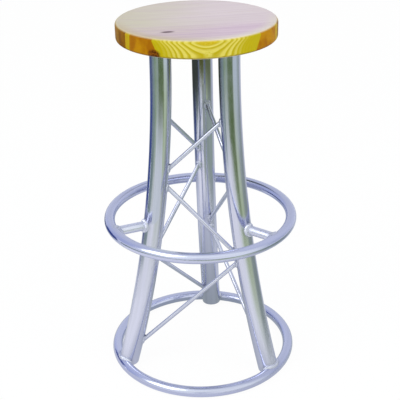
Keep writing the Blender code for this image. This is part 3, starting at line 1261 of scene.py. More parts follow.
@dataclass
class Frame:
    """The welded frame: legs, rings, stubs and lacing rods.

    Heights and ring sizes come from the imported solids, and stock sizes are given here. Each offset keeps
    the marks on the metal of one group of pieces apart from those of another.
    """

    leg_names: tuple[str, ...] = ("rear", "front_right", "front_left")
    face_names: tuple[str, ...] = ("right", "front", "left")
    leg_radius: float = 0.024
    leg_wall: float = 0.003
    leg_circle_radius: float = 0.087
    leg_upright: float = 0.012
    leg_foot_inset: float = 0.014
    leg_foot_lift: float = 0.007
    leg_sides: int = 56
    leg_rows: int = 150
    foot_search: Pair = (0.070, -0.030)
    foot_weld: float = 0.0055
    foot_weld_points: int = 721
    touching_gaps: float = 3.0
    top_weld: float = 0.0042
    top_weld_points: int = 240
    long_ripple: float = 0.0030
    stub_radius: float = 0.011
    stub_weld: float = 0.0058
    stub_offset: float = 20.0
    rod_radius: float = 0.005
    rod_weld: float = 0.0046
    rod_offset: float = 30.0
    ring_facets: int = 12
    ring_sides: int = 40
    ring_rows: int = 260
    ring_offset: float = 5.0
    ring_seam_angle: float = math.radians(150.0)
    ring_seam: float = 0.0003
    seam_half_width: float = 0.0022
    seam_proud: float = 0.00016
    seam_fall: float = 1.6
    seam_depth: float = 0.0010
    seam_steps: int = 9
    seam_sides: int = 48
    lacing_top_drop: float = 0.154
    lacing_upper_panel: float = 0.160
    lacing_middle_panel: float = 0.207
    lacing_node_pass: float = 0.020
    lacing_foot_height: float = 0.037
    seating_gap: float = 0.0003
    weld_seed: int = 7
    heat_reach: float = 0.014
    heat_stride: int = 4
    pieces: list[Piece] = field(default_factory=list)
    welds: list[Weld] = field(default_factory=list)

    def __post_init__(self) -> None:
        """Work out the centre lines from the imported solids."""
        self.floor_ring = self.ring_line("floor_ring")
        self.footrest = self.ring_line("footrest_ring")
        self.leg_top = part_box("leg_rear")[1].z
        bend_start = self.leg_top - self.leg_upright
        splay = self.floor_ring.radius - self.leg_foot_inset - self.leg_circle_radius
        bend_radius = (bend_start**2 + splay**2) / (2.0 * splay)
        self.legs = [
            LegLine(
                angle=math.pi / 2 - math.tau * number / len(self.leg_names),
                top=self.leg_top,
                upright=self.leg_upright,
                circle_radius=self.leg_circle_radius,
                bend_radius=bend_radius,
                tube_radius=self.leg_radius,
            )
            for number in range(len(self.leg_names))
        ]

    def ring_line(self, node: str) -> RingLine:
        """Centre line of a ring, from the box of its faceted solid.

        Args:
            node: Name of the solid.

        Returns:
            The centre line.
        """
        low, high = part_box(node)
        half_flat = (high.z - low.z) / 2
        tube = half_flat / math.cos(math.pi / self.ring_facets)
        return RingLine((high.z + low.z) / 2, (high.x - low.x) / 2 - half_flat, tube)

    def keep(self, piece: Piece, finish: Material, slot: Slot, node: str) -> None:
        """Dress a piece of the frame and remember it for the heat of the welds."""
        enlist(piece, finish, slot, node)
        self.pieces.append(piece)

    def foot_clear(self, points: Array) -> Array:
        """Positive where a leg's wall is clear of the floor ring and above its foot's lift."""
        ring = self.floor_ring.distance(points) - self.floor_ring.tube_radius - self.seating_gap
        return np.minimum(ring, points[..., 2] - self.leg_foot_lift)

    def foot_end(self, leg: LegLine, turn: Array, radius: float) -> Array:
        """Where a leg's wall ends over the floor ring.

        Args:
            leg: Centre line of the leg.
            turn: Angles round the leg.
            radius: Distance of the wall from the centre line.

        Returns:
            Lengths along the leg at those angles.
        """
        clear, sunk = (np.full_like(turn, leg.along_at(height)) for height in self.foot_search)
        return zero_between(lambda along: self.foot_clear(leg.surface(along, turn, radius)), clear, sunk)

    def build_legs(self, finish: Material) -> None:
        """Make the bent tubes, whose feet straddle the floor ring.

        Args:
            finish: Material of the tubes.
        """
        turn = circle_angles(self.leg_sides)
        rows = np.linspace(0.0, 1.0, self.leg_rows)[:, None]
        for number, (name, leg) in enumerate(zip(self.leg_names, self.legs)):
            draft = Draft()
            ends = []
            for radius in (self.leg_radius, self.leg_radius - self.leg_wall):
                along = rows * self.foot_end(leg, turn, radius)
                straight = straightened(radius, turn, along + number)
                rings = draft.add_grid(leg.surface(along, turn, radius), straight)
                ends.append((rings[0], rings[-1]))
            for outer, inner in zip(*ends):
                draft.bridge(outer, inner)
            self.add_foot_weld(name, leg)
            self.add_top_weld(name, leg)
            self.keep(draft.build(f"leg_{name}_tube"), finish, Slot.LEG, f"leg_{name}")

    def add_foot_weld(self, name: str, leg: LegLine) -> None:
        """Note the seam where a leg's foot sits on the floor ring.

        Args:
            name: Name of the leg.
            leg: Its centre line.
        """
        turn = circle_angles(self.leg_sides)
        foot = self.foot_end(leg, turn, self.leg_radius)
        half = len(foot) // 2
        from_inside = np.append(np.roll(foot, half), foot[half])
        fine = np.linspace(-math.pi, math.pi, self.foot_weld_points)
        along = np.interp(fine, np.append(turn, math.tau) - math.pi, from_inside)
        points = leg.surface(along, fine, self.leg_radius)
        reach = self.floor_ring.tube_radius + self.touching_gaps * self.seating_gap
        touching = self.floor_ring.distance(points) < reach
        seam, along, fine = points[touching], along[touching], fine[touching]
        slide = along_wall(leg.normal(seam), self.floor_ring.normal(seam))
        self.welds.append(
            Weld(
                name=f"weld_foot_{name}",
                corner=seam,
                bar_toe=lambda size: leg.surface(along - size, fine, self.leg_radius),
                wall_toe=lambda size: self.floor_ring.onto(seam + size[:, None] * slide),
                slot=Slot.RING,
                size=self.foot_weld,
                closed=False,
                ripple=self.long_ripple,
            )
        )

    def add_top_weld(self, name: str, leg: LegLine) -> None:
        """Note the seam round a leg's top, under the seat plate.

        Args:
            name: Name of the leg.
            leg: Its centre line.
        """
        turn = circle_angles(self.top_weld_points)
        path = leg.surface(np.zeros_like(turn), turn, self.leg_radius)
        out = leg.normal(path)
        self.welds.append(
            Weld(
                name=f"weld_top_{name}",
                corner=path,
                bar_toe=lambda size: leg.surface(size, turn, self.leg_radius),
                wall_toe=lambda size: path + size[:, None] * out,
                slot=Slot.LEG,
                size=self.top_weld,
                ripple=self.long_ripple,
            )
        )

    def build_rings(self, finish: Material) -> None:
        """Make the floor ring and the footrest ring, each closed by a welded seam.

        Args:
            finish: Material of the tubes.
        """
        turn = circle_angles(self.ring_sides)
        rings = {"floor_ring": self.floor_ring, "footrest_ring": self.footrest}
        for number, (name, ring) in enumerate(rings.items()):
            half_seam = self.ring_seam / 2 / ring.radius
            sweep = np.linspace(half_seam, math.tau - half_seam, self.ring_rows)[:, None]
            points = ring.surface(self.ring_seam_angle + sweep, turn, ring.tube_radius)
            along = ring.radius * sweep + self.ring_offset * number
            draft = Draft()
            draft.cap(draft.add_grid(points, straightened(ring.tube_radius, turn, along)))
            self.keep(draft.build(f"{name}_tube"), finish, Slot.RING, name)
            self.build_ring_seam(name, ring, finish)

    def build_ring_seam(self, name: str, ring: RingLine, finish: Material) -> None:
        """Make the butt seam of a ring, ground nearly flush.

        Args:
            name: Name of the ring.
            ring: Its centre line.
            finish: Material of the seam.
        """
        spread = np.linspace(-1.0, 1.0, self.seam_steps)
        proud = self.seam_proud * (1.0 - self.seam_fall * spread**2)
        shift = np.append(spread, (1.0, -1.0))[:, None]
        radius = ring.tube_radius + np.append(proud, (-self.seam_depth, -self.seam_depth))[:, None]
        around = self.ring_seam_angle + shift * self.seam_half_width / ring.radius
        points = ring.surface(around, circle_angles(self.seam_sides), radius)
        draft = Draft()
        draft.add_grid(points, np.ones_like(points), looped=True)
        enlist(draft.build(f"weld_seam_{name}"), finish, Slot.RING)

    def add_bar(self, bar: Bar, finish: Material) -> None:
        """Make a bar, and note the seams at its ends."""
        self.welds.extend(bar.weld(end) for end in End)
        self.keep(bar.build(), finish, bar.slot, bar.node)

    def build_stubs(self, finish: Material) -> None:
        """Make the stubs that hold the footrest ring.

        Args:
            finish: Material of the stubs.
        """
        for number, (name, leg) in enumerate(zip(self.leg_names, self.legs)):
            outward = np.array((math.cos(leg.angle), math.sin(leg.angle), 0.0))
            bar = Bar(
                node=f"footrest_stub_{name}",
                name=f"footrest_stub_{name}_tube",
                weld_name=f"weld_stub_{name}",
                slot=Slot.RING,
                radius=self.stub_radius,
                weld_size=self.stub_weld,
                offset=self.stub_offset + number,
                gap=self.seating_gap,
                start=leg.at_height(self.footrest.height),
                end=outward * self.footrest.radius + np.array(UP) * self.footrest.height,
                start_line=leg,
                end_line=self.footrest,
            )
            self.add_bar(bar, finish)

    def lacing_heights(self) -> dict[Level, Pair]:
        """Find the ends of the rods of a face, on the legs' centre lines.

        Returns:
            Height of each rod's upper and lower end.
        """
        top = self.leg_top - self.lacing_top_drop
        upper_node = top - self.lacing_upper_panel
        lower_node = upper_node - self.lacing_middle_panel
        return {
            Level.UPPER: (top, upper_node),
            Level.MIDDLE: (upper_node, lower_node),
            Level.LOWER: (lower_node + self.lacing_node_pass, self.lacing_foot_height),
        }

    def build_lacing(self, finish: Material) -> None:
        """Make the rods that zig-zag down each face. The middle one leans against the other two.

        Args:
            finish: Material of the rods.
        """
        offset = self.rod_offset
        for number, face in enumerate(self.face_names):
            this, following = self.legs[number], self.legs[(number + 1) % len(self.legs)]
            for level, (top, bottom) in self.lacing_heights().items():
                start, end = (following, this) if level is Level.MIDDLE else (this, following)
                name = f"lacing_{face}_{level.value}"
                bar = Bar(
                    node=name,
                    name=f"{name}_rod",
                    weld_name=f"weld_{name}",
                    slot=Slot.ROD,
                    radius=self.rod_radius,
                    weld_size=self.rod_weld,
                    offset=offset,
                    gap=self.seating_gap,
                    start=start.at_height(top),
                    end=end.at_height(bottom),
                    start_line=start,
                    end_line=end,
                )
                self.add_bar(bar, finish)
                offset += 1.0

    def build_welds(self, finish: Material) -> None:
        """Make all the beads, and mark the metal near them as heated.

        Args:
            finish: Material of the beads.
        """
        chance = np.random.default_rng(self.weld_seed)
        for weld in self.welds:
            weld.build(finish, chance)
        spots = np.concatenate([weld.corner[:: self.heat_stride] for weld in self.welds])
        tree = KDTree(len(spots))
        for number, spot in enumerate(spots):
            tree.insert(spot, number)
        tree.balance()
        for piece in self.pieces:
            near = np.array([tree.find(point.co)[2] for point in piece.data.vertices])
            mark(piece.data, HEAT, np.clip(1.0 - near / self.heat_reach, 0.0, 1.0))


@dataclass
class Seat:
    """Round seat of pine staves glued edge to edge, with rounded edges."""

    grain_angle: float = math.radians(17.0)
    pattern_angle: float = math.radians(14.7)
    edge_radius: float = 0.007
    edge_support: float = 0.0015
    edge_steps: int = 12
    spin_steps: int = 240
    sharp_degrees: float = 30.0
    stave_width: float = 0.105
    front_joint_distance: float = 0.070
    glue_line: float = 0.00012

    def __post_init__(self) -> None:
        """Take the seat's radius and heights from its solids."""
        boxes = [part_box(node) for node in sorted(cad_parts) if node.startswith("seat_stave")]
        self.count = len(boxes)
        self.radius = max(high.x for _, high in boxes)
        self.top = max(high.z for _, high in boxes)
        self.underside = min(low.z for low, _ in boxes)

    def profile(self) -> list[Pair]:
        """Draw the turned outline, from the middle of the top to that of the underside.

        Returns:
            Radius and height of each of its points.
        """
        inner = self.radius - self.edge_radius
        points = [(0.0, self.top), (inner - self.edge_support, self.top)]
        for step in range(self.edge_steps + 1):
            angle = math.pi / 2 * step / self.edge_steps
            drop = self.edge_radius * (1 - math.cos(angle))
            points.append((inner + self.edge_radius * math.sin(angle), self.top - drop))
        lower = [(radius, self.top + self.underside - height) for radius, height in reversed(points)]
        return points + lower

    def stave_edges(self) -> list[Pair]:
        """Share the seat's width out among the staves, front to back.

        Returns:
            Where each stave starts and ends across the grain.
        """
        joints = [step * self.stave_width - self.front_joint_distance for step in range(self.count - 1)]
        half = self.glue_line / 2
        starts = [-2 * self.radius, *(joint + half for joint in joints)]
        ends = [*(joint - half for joint in joints), 2 * self.radius]
        return list(zip(starts, ends))

    def stave(self, name: str, start: float, end: float) -> Piece:
        """Part one stave from the turned seat.

        Args:
            name: Name of the stave.
            start: Its front edge across the grain.
            end: Its back edge across the grain.

        Returns:
            The stave.
        """
        shape = turned(self.profile(), self.spin_steps)
        across = Vector((-math.sin(self.grain_angle), math.cos(self.grain_angle), 0.0))
        for place, away in ((start, -across), (end, across)):
            if abs(place) > self.radius:
                continue
            everything = shape.verts[:] + shape.edges[:] + shape.faces[:]
            cut = bmesh.ops.bisect_plane(
                shape, geom=everything, plane_co=across * place, plane_no=away, clear_outer=True
            )
            rim = [item for item in cut["geom_cut"] if isinstance(item, bmesh.types.BMEdge)]
            bmesh.ops.edgeloop_fill(shape, edges=rim)
        face_outwards(shape)
        return link(name, shade(settle(name, shape), self.sharp_degrees))

    def flecks(self) -> tuple[Fleck, ...]:
        """List the knots and the resin of the front stave.

        Returns:
            A knot on the face, a knot on the edge, a gap between growth rings and a resin pocket.
        """
        dark, bark, lilac = (0.050, 0.010, 0.0), (0.30, 0.085, 0.004), (0.10, 0.055, 0.080)
        amber, gold = (0.51, 0.37, 0.010), (0.57, 0.44, 0.030)
        cream, straw = (0.62, 0.54, 0.10), (0.52, 0.43, 0.03)
        front, top = -self.radius, self.top
        return (
            Fleck((-0.0733, -0.0977, top), (0.0130, 0.0056, 0.010), dark, bark, 1.2, 0.45, lilac),
            Fleck((-0.1065, -0.1410, top - 0.0330), (0.0145, 0.0145, 0.0098), dark, bark, 1.6, 0.32),
            Fleck((0.001, front, top - 0.0315), (0.0085, 0.030, 0.0125), cream, straw, 0.0, 0.55),
            Fleck((0.0, front, top + 0.001), (0.0225, 0.030, 0.0115), amber, gold, 0.9, 0.10),
        )

    def finishes(self) -> list[Pine]:
        """Choose the finish of each stave, front to back.

        Returns:
            The finishes.
        """
        front_heart = Heart(-0.1350, 0.29, -0.0870, 0.02, 0.022)
        next_heart = Heart(-0.0900, 0.0, -0.0440, 0.05, 0.0)
        top = self.top
        cuts = (
            (Timber.YELLOW, (-0.1125, top - 0.033), 0.0036, 0.0018, 0.85, front_heart, self.flecks()),
            (Timber.BROWN, (-0.030, top - 0.145), 0.0034, 0.0, 0.35, next_heart),
            (Timber.YELLOW, (0.085, top - 0.055), 0.0030, 0.0, 0.25),
            (Timber.YELLOW, (0.120, top - 0.075), 0.0026, 0.0, 0.25),
        )
        return [
            Pine(f"pine_stave_{number}", timber, self.pattern_angle, top, *cut)
            for number, (timber, *cut) in enumerate(cuts, start=1)
        ]

    def build(self) -> None:
        """Make and dress the staves."""
        for number, ((start, end), pine) in enumerate(zip(self.stave_edges(), self.finishes()), start=1):
            board = self.stave(f"seat_stave_{number}_board", start, end)
            enlist(board, pine.material(), Slot.PINE, f"seat_stave_{number}")


@dataclass
class SeatFixing:
    """The plate welded on top of the legs, and the screws that hold the seat to it."""

    circle_radius: float
    corner_count: int = 3
    corner_radius: float = 0.032
    corner_steps: int = 24
    chamfer: float = 0.0006
    chamfer_steps: int = 2
    chamfer_from: float = math.radians(60.0)
    plate_sharp_degrees: float = 30.0
    shank_radius: float = 0.0025
    head_radius: float = 0.005
    head_height: float = 0.0035
    head_steps: int = 8
    point_length: float = 0.006
    screw_sides: int = 32
    screw_sharp_degrees: float = 35.0
    screw_seed: int = 3
    recess_bars: int = 2
    recess_width: float = 0.0011
    recess_length: float = 0.0052
    recess_depth: float = 0.0019
    recess_taper: Triple = (0.45, 0.8, 1.0)

    def build_plate(self, finish: Material) -> None:
        """Make the plate: a triangle with round corners and broken edges.

        Args:
            finish: Material of the plate.
        """
        low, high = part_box("seat_plate")
        shape = bmesh.new()
        rim = []
        spacing = math.tau / self.corner_count
        for corner in range(self.corner_count):
            middle = math.pi / 2 - spacing * corner
            for step in range(self.corner_steps + 1):
                angle = middle + spacing * (0.5 - step / self.corner_steps)
                x = self.circle_radius * math.cos(middle) + self.corner_radius * math.cos(angle)
                y = self.circle_radius * math.sin(middle) + self.corner_radius * math.sin(angle)
                rim.append(shape.verts.new((x, y, low.z)))
        base = shape.faces.new(rim)
        grown = bmesh.ops.extrude_face_region(shape, geom=[base])["geom"]
        lifted = [item for item in grown if isinstance(item, bmesh.types.BMVert)]
        bmesh.ops.translate(shape, verts=lifted, vec=(0.0, 0.0, high.z - low.z))
        face_outwards(shape)
        corners = [edge for edge in shape.edges if edge.calc_face_angle(0.0) > self.chamfer_from]
        bmesh.ops.bevel(
            shape, geom=corners, offset=self.chamfer, segments=self.chamfer_steps, affect="EDGES"
        )
        mesh = shade(settle("seat_plate_sheet", shape), self.plate_sharp_degrees)
        enlist(link("seat_plate_sheet", mesh), finish, Slot.PLATE, "seat_plate")

    def screw_profile(self, seat_plane: float, tip: float) -> list[Pair]:
        """Draw the turned outline of a screw, from its point to the crown of its head.

        Args:
            seat_plane: Height of the plate's underside, which the head seats against.
            tip: Height of the point.

        Returns:
            Radius and height of each of its points.
        """
        dome = (self.head_radius**2 + self.head_height**2) / (2 * self.head_height)
        rim_angle = math.asin(self.head_radius / dome)
        crown = seat_plane - self.head_height
        shoulder = tip - self.point_length
        points = [(0.0, tip), (self.shank_radius, shoulder), (self.shank_radius, seat_plane)]
        for step in range(self.head_steps + 1):
            angle = rim_angle * (1.0 - step / self.head_steps)
            points.append((dome * math.sin(angle), crown + dome * (1 - math.cos(angle))))
        return points

    def recess_mesh(self, crown: float, quarter: int) -> Mesh:
        """Make one bar of the cross recess, narrower at its bottom.

        Args:
            crown: Height of the head's crown.
            quarter: Quarter turns about the screw's axis.

        Returns:
            The mesh.
        """
        shape = bmesh.new()
        size = (self.recess_length, self.recess_width, 2 * self.recess_depth)
        cube = bmesh.ops.create_cube(shape, size=1.0)["verts"]
        bmesh.ops.scale(shape, vec=size, verts=cube)
        deep = [point for point in cube if point.co.z > 0.0]
        bmesh.ops.scale(shape, vec=self.recess_taper, verts=deep)
        bmesh.ops.rotate(shape, matrix=Matrix.Rotation(quarter * math.pi / 2, 3, "Z"), verts=cube)
        bmesh.ops.translate(shape, vec=(0.0, 0.0, crown), verts=cube)
        return settle("screw_recess", shape)

    def screw_mesh(self, seat_plane: float, tip: float) -> Mesh:
        """Make a round-headed wood screw with a cross recess, pointing up.

        Args:
            seat_plane: Height of the plate's underside, which the head seats against.
            tip: Height of the point.

        Returns:
            The mesh, on its own axis.
        """
        shape = turned(self.screw_profile(seat_plane, tip), self.screw_sides)
        face_outwards(shape)
        blank = link("screw_blank", settle("screw_body", shape))
        cutters = []
        for quarter in range(self.recess_bars):
            recess = self.recess_mesh(seat_plane - self.head_height, quarter)
            cutter = link(f"screw_recess_{quarter}", recess)
            boolean = blank.modifiers.new("recess", "BOOLEAN")
            boolean.object = cutter
            boolean.solver = "EXACT"
            cutters.append(cutter)
        evaluated = blank.evaluated_get(bpy.context.evaluated_depsgraph_get())
        mesh = bpy.data.meshes.new_from_object(evaluated)
        for helper in (blank, *cutters):
            bpy.data.objects.remove(helper)
        return shade(mesh, self.screw_sharp_degrees)

    def build_screws(self, finish: Material) -> None:
        """Make the screws where their solids are.

        Args:
            finish: Material of the screws.
        """
        chance = np.random.default_rng(self.screw_seed)
        for node in sorted(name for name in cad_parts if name.startswith("seat_screw")):
            low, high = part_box(node)
            mesh = self.screw_mesh(low.z + self.head_height, high.z)
            mesh.transform(Matrix.Rotation(chance.uniform(0.0, math.tau), 4, "Z"))
            mesh.transform(Matrix.Translation(((low.x + high.x) / 2, (low.y + high.y) / 2, 0.0)))
            enlist(link(f"{node}_driven", mesh), finish, Slot.SCREW, node)


def card_mesh(name: str, points: Array, cover: Array) -> Mesh:
    """Make the mesh of a card.

    Args:
        name: Name of the card.
        points: Its points, by row and by column.
        cover: How far the card covers what is behind it, at each point.

    Returns:
        The mesh.
    """
    numbers = np.arange(cover.size).reshape(cover.shape)
    corners = [numbers[:-1, :-1], numbers[1:, :-1], numbers[1:, 1:], numbers[:-1, 1:]]
    mesh = bpy.data.meshes.new(name)
    mesh.from_pydata(points.reshape(-1, 3).tolist(), [], np.stack(corners, -1).reshape(-1, 4).tolist())
    mark(mesh, COVER, cover.ravel())
    return mesh


@dataclass(frozen=True)
class FloorCard:
    """A soft-edged sector of coloured card on the floor, or lifted off it, round an apex near the stool.

    Its bearing is in degrees from +X, and its reach runs from where it starts to where it is full. A
    card that is full nearer its apex than where it starts is a round one. A sector fades over an outer
    share of its half width, and again far from the stool.
    """

    FADE: ClassVar[float] = 3.0
    FAR: ClassVar[float] = 4.6
    SIDE_FADE: ClassVar[float] = 0.5

    name: str
    bearing: float
    half_width: float
    reach: Pair
    colour: Colour
    apex: Pair = (0.0, 0.0)
    lift: float = 0.0
    steps: int = 24

    def mesh(self, height: float) -> Mesh:
        """Make the card.

        Args:
            height: Height at which it lies before it is lifted.

        Returns:
            The mesh.
        """
        near, full = self.reach
        is_round = full < near
        outer = np.zeros(1) if is_round else np.linspace(self.FADE, self.FAR, self.steps)
        radii = np.append(np.linspace(near, full, self.steps), outer)[:, None]
        sides = np.linspace(-1.0, 1.0, 2 * self.steps + 1)[None, :]
        angles = np.radians(self.bearing + sides * self.half_width)
        points = joined(radii * np.cos(angles), radii * np.sin(angles), np.zeros(1))
        points = points + np.array((*self.apex, height + self.lift))
        cover = smooth((radii - near) / (full - near)) * np.ones_like(sides)
        if not is_round:
            beside = smooth((1.0 - np.abs(sides)) / self.SIDE_FADE)
            beyond = smooth((self.FAR - radii) / (self.FAR - self.FADE))
            cover = cover * beside * beyond
        return card_mesh(self.name, points, cover)


@dataclass(frozen=True)
class StandingCard:
    """A card that stands beside the stool between two places.

    It fades in from one level to another, and is full from there to its far edge, above or below.
    """

    name: str
    start: Pair
    end: Pair
    fade: Pair
    colour: Colour
    far_edge: float = 0.80
    steps: int = 12

    def mesh(self, height: float) -> Mesh:
        """Make the card.

        Args:
            height: Height from which its levels are measured.

        Returns:
            The mesh.
        """
        clear, full = self.fade
        levels = np.append(np.linspace(clear, full, self.steps), self.far_edge)
        cover = np.repeat(smooth((levels - clear) / (full - clear))[:, None], 2, axis=1)
        points = [[(x, y, height + level) for x, y in (self.start, self.end)] for level in levels]
        return card_mesh(self.name, np.array(points), cover)


@dataclass(frozen=True)
class RoomPatch:
    """A soft round patch of the room, by its bearing from +X, its elevation and its spread in degrees."""

    bearing: float
    elevation: float
    core: float
    rim: float
    colour: Colour

    def axis(self) -> Triple:
        """Find the direction of the patch's middle.

        Returns:
            The direction, one long.
        """
        bearing, elevation = math.radians(self.bearing), math.radians(self.elevation)
        level = math.cos(elevation)
        return (level * math.cos(bearing), level * math.sin(bearing), math.sin(elevation))

    def spread(self) -> Pair:
        """Nearness to the middle at the patch's rim and at its core."""
        return math.cos(math.radians(self.rim)), math.cos(math.radians(self.core))


@dataclass(frozen=True)
class Lamp:
    """A soft square lamp, which polished metal shows where it is mirrored."""

    name: str
    spot: Triple
    side: float
    watts: float
    mirrored: bool = True


@dataclass
class Studio:
    """Pale floor, soft light, coloured cards that the metal shows, and the camera at the photo's angle."""

    camera_distance: float = 1.9414
    camera_height: float = 1.3377
    camera_turn: float = 0.1296
    camera_pitch: float = 0.4464
    camera_roll: float = -0.0201
    camera_lens: float = 81.48
    camera_sensor: float = 36.0
    floor_size: float = 120.0
    floor_drop: float = 0.0003
    floor_glow: float = 0.95
    floor_colour: Colour = (0.92, 0.92, 0.92)
    wall_colour: Colour = (0.74, 0.775, 0.825)
    ceiling_colour: Colour = (0.60, 0.66, 0.66)
    ceiling_range: Pair = (0.48, 1.0)
    card_gap: float = 0.0002
    lamp_aim: Triple = (0.0, 0.0, 0.45)
    lamps: tuple[Lamp, ...] = (
        Lamp("key_lamp", (-2.1, -2.0, 3.0), 2.4, 40.0),
        Lamp("fill_lamp", (2.4, -1.2, 2.2), 1.8, 22.0, mirrored=False),
    )
    patches: tuple[RoomPatch, ...] = (
        RoomPatch(-101.5, 55.0, 19.0, 68.7, (1.12, 1.16, 1.06)),
        RoomPatch(27.0, 20.0, 43.0, 51.7, (0.46, 0.51, 0.64)),
        RoomPatch(157.0, 26.0, 24.6, 39.8, (0.54, 0.59, 0.77)),
        RoomPatch(70.0, 42.0, 0.0, 81.8, (0.71, 0.74, 0.805)),
        RoomPatch(-69.4, 13.7, 13.5, 28.2, (0.49, 0.52, 0.65)),
        RoomPatch(-44.0, 19.0, 0.0, 54.0, (1.06, 1.09, 1.015)),
    )
    floor_cards: tuple[FloorCard, ...] = (
        # A painted shadow on the floor round the stool's base, which only the metal's reflections show.
        FloorCard("card_painted_floor_shadow", 0.0, 180.0, (0.484, 0.136), (0.64, 0.665, 0.72)),
        FloorCard("card_front", -132.0, 90.0, (0.80, 2.50), (0.23, 0.345, 0.17), (0.05, -0.30)),
        FloorCard("card_near_right", -18.0, 90.0, (0.50, 1.60), (0.52, 0.62, 0.37), (0.09, 0.30)),
        FloorCard("card_right", 29.5, 50.5, (0.20, 1.28), (0.30, 0.36, 0.31), (-0.28, -0.28)),
        FloorCard("card_far_right", -62.0, 90.0, (2.20, 2.77), (0.65, 0.73, 0.74), (-0.30, -0.30)),
        FloorCard("card_left", 183.5, 28.5, (1.14, 1.45), (0.24, 0.32, 0.29), (0.17, -0.30)),
        FloorCard("card_behind", 96.0, 67.5, (0.20, 1.15), (0.035, 0.10, 0.05), (0.30, -0.30)),
        FloorCard("card_green", -74.0, 32.0, (1.78, 2.30), (0.10, 0.165, 0.04), (-0.30, 0.30)),
        FloorCard("card_rear", 99.4, 88.0, (0.42, 0.51), (0.71, 0.74, 0.79), (-0.13, -0.18)),
        FloorCard("card_rear_left", 148.0, 59.0, (0.40, 0.92), (0.10, 0.135, 0.25), (-0.12, 0.30)),
        FloorCard("card_far_side", 97.0, 46.0, (0.25, 0.50), (0.42, 0.46, 0.56)),
        # Painted shade under the seat, which only the metal's reflections show, in place of the seat's
        # underside.
        FloorCard("card_painted_seat_shade", 0.0, 180.0, (0.170, 0.140), (0.50, 0.55, 0.66), lift=0.795),
    )
    standing_cards: tuple[StandingCard, ...] = (
        StandingCard("card_dark_flag", (-0.085, -0.018), (-0.085, 0.30), (0.48, 0.66), (0.05, 0.06, 0.045)),
        StandingCard("card_olive_flag", (0.085, -0.018), (0.085, 0.10), (0.56, 0.70), (0.15, 0.18, 0.08)),
        StandingCard(
            "card_moss_flag", (0.001, 0.045), (0.0238, 0.045), (0.29, 0.44), (0.37, 0.42, 0.36), 0.66
        ),
        StandingCard(
            "card_moss_side", (0.050, 0.022), (0.050, 0.105), (0.30, 0.46), (0.35, 0.42, 0.35), 0.60
        ),
        StandingCard(
            "card_olive_front", (-0.0115, 0.048), (0.0111, 0.048), (0.614, 0.734), (0.11, 0.12, 0.03)
        ),
        StandingCard(
            "card_left_leg", (-0.111, -0.105), (-0.045, -0.105), (0.70, 0.485), (0.79, 0.84, 0.81), 0.37
        ),
        StandingCard(
            "card_navy", (-0.871, 0.406), (-1.031, 0.024), (0.05, 0.14), (0.05, 0.08, 0.28), 0.42
        ),
        StandingCard(
            "card_pale", (-1.035, -0.012), (-1.040, -0.071), (0.08, 0.12), (1.5, 1.6, 1.65), 0.25
        ),
    )

    def place_camera(self) -> None:
        """Set the camera, from its height and its distance from the stool's axis."""
        data = bpy.data.cameras.new("camera")
        data.lens = self.camera_lens
        data.sensor_width = self.camera_sensor
        camera = link("camera", data)
        turn = Matrix.Rotation(self.camera_turn, 4, "Z")
        pitch = Matrix.Rotation(math.pi / 2 - self.camera_pitch, 4, "X")
        roll = Matrix.Rotation(self.camera_roll, 4, "Z")
        spot = turn @ Vector((0.0, -self.camera_distance, self.camera_height))
        camera.matrix_world = Matrix.Translation(spot) @ turn @ pitch @ roll
        bpy.context.scene.camera = camera

    def lay_floor(self) -> None:
        """Lay the white floor, which keeps the stool's soft shadow."""
        shape = bmesh.new()
        bmesh.ops.create_grid(shape, x_segments=1, y_segments=1, size=self.floor_size / 2)
        floor = link("floor", settle("floor", shape))
        floor.location.z = -self.floor_drop
        sheet = NodeSheet(bpy.data.materials.new("white_floor"))
        rays = sheet.add("ShaderNodeLightPath").outputs
        seen = sheet.number("MAXIMUM", rays["Is Camera Ray"], rays["Is Glossy Ray"])
        seen = sheet.number("MAXIMUM", seen, rays["Is Transmission Ray"])
        paint = sheet.add("ShaderNodeBsdfDiffuse", {"Color": opaque(self.floor_colour)}).outputs[0]
        glow = sheet.add("ShaderNodeEmission").outputs[0]
        floor.data.materials.append(sheet.layer(sheet.times(seen, self.floor_glow), paint, glow))

    def hang_sky(self) -> None:
        """Give the room pale walls, a greyer ceiling, and lighter and darker patches."""
        sheet = NodeSheet(bpy.data.worlds.new("room"))
        bpy.context.scene.world = sheet.owner
        way = sheet.coordinates("Generated")
        rise = sheet.ease(sheet.parts(way)["Z"], self.ceiling_range)
        tone = sheet.mix(rise, self.wall_colour, self.ceiling_colour)
        for patch in self.patches:
            nearness = sheet.vector("DOT_PRODUCT", way, patch.axis())
            tone = sheet.mix(sheet.ease(nearness, patch.spread()), tone, patch.colour)
        sheet.feed(sheet.tree.nodes["Background"].inputs["Color"], tone)

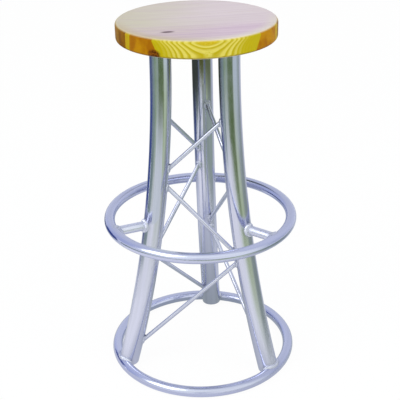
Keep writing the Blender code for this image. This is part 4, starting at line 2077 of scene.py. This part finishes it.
    def put_up_card(self, number: int, card: FloorCard | StandingCard) -> None:
        """Put up a coloured card, which only the polished metal shows.

        Args:
            number: Its number in the stack.
            card: Its place and colour.
        """
        piece = link(card.name, card.mesh(self.card_gap * number - self.floor_drop))
        sheet = NodeSheet(bpy.data.materials.new(card.name))
        clear = sheet.add("ShaderNodeBsdfTransparent").outputs[0]
        glow = sheet.add("ShaderNodeEmission", {"Color": opaque(card.colour)}).outputs[0]
        piece.data.materials.append(sheet.layer(sheet.attribute(COVER), clear, glow))
        piece.visible_camera = False
        piece.visible_diffuse = False
        piece.visible_shadow = False

    def hang_lamp(self, lamp: Lamp) -> None:
        """Hang a lamp that faces the middle of the stool.

        Args:
            lamp: Its place and power.
        """
        data = bpy.data.lights.new(lamp.name, "AREA")
        data.size = lamp.side
        data.energy = lamp.watts
        piece = link(lamp.name, data)
        piece.visible_glossy = lamp.mirrored
        piece.location = lamp.spot
        ray = Vector(self.lamp_aim) - piece.location
        piece.rotation_euler = ray.to_track_quat("-Z", "Y").to_euler()

    def build(self) -> None:
        """Set up everything round the stool."""
        bpy.context.scene.view_settings.view_transform = "Standard"
        self.place_camera()
        self.lay_floor()
        self.hang_sky()
        for number, card in enumerate((*self.floor_cards, *self.standing_cards), start=1):
            self.put_up_card(number, card)
        for lamp in self.lamps:
            self.hang_lamp(lamp)


def main() -> None:
    """Build the stool's looks in order."""
    logging.basicConfig(level=logging.INFO, format="%(name)s: %(message)s")
    Studio().build()
    stool = Frame()
    # The metals' lilac-blue tints are painted reflection of a lilac-blue ceiling and sky, on the pale grey
    # of aluminium.
    stool.build_legs(Aluminium("leg_aluminium", (0.66, 0.68, 0.83), 0.11).material())
    stool.build_rings(Aluminium("ring_aluminium", (0.62, 0.65, 0.87), 0.12).material())
    stool.build_stubs(Aluminium("stub_aluminium", (0.76, 0.785, 0.95), 0.36).material())
    stool.build_lacing(Aluminium("rod_aluminium", (0.70, 0.72, 0.87), 0.18).material())
    stool.build_welds(WeldMetal().material())
    Seat().build()
    fixing = SeatFixing(stool.leg_circle_radius)
    fixing.build_plate(RolledSheet("plate_aluminium", (0.66, 0.67, 0.70), 0.34).material())
    fixing.build_screws(RolledSheet("zinc_plating", (0.60, 0.61, 0.63), 0.28).material())


if __name__ == "__main__":
    main()
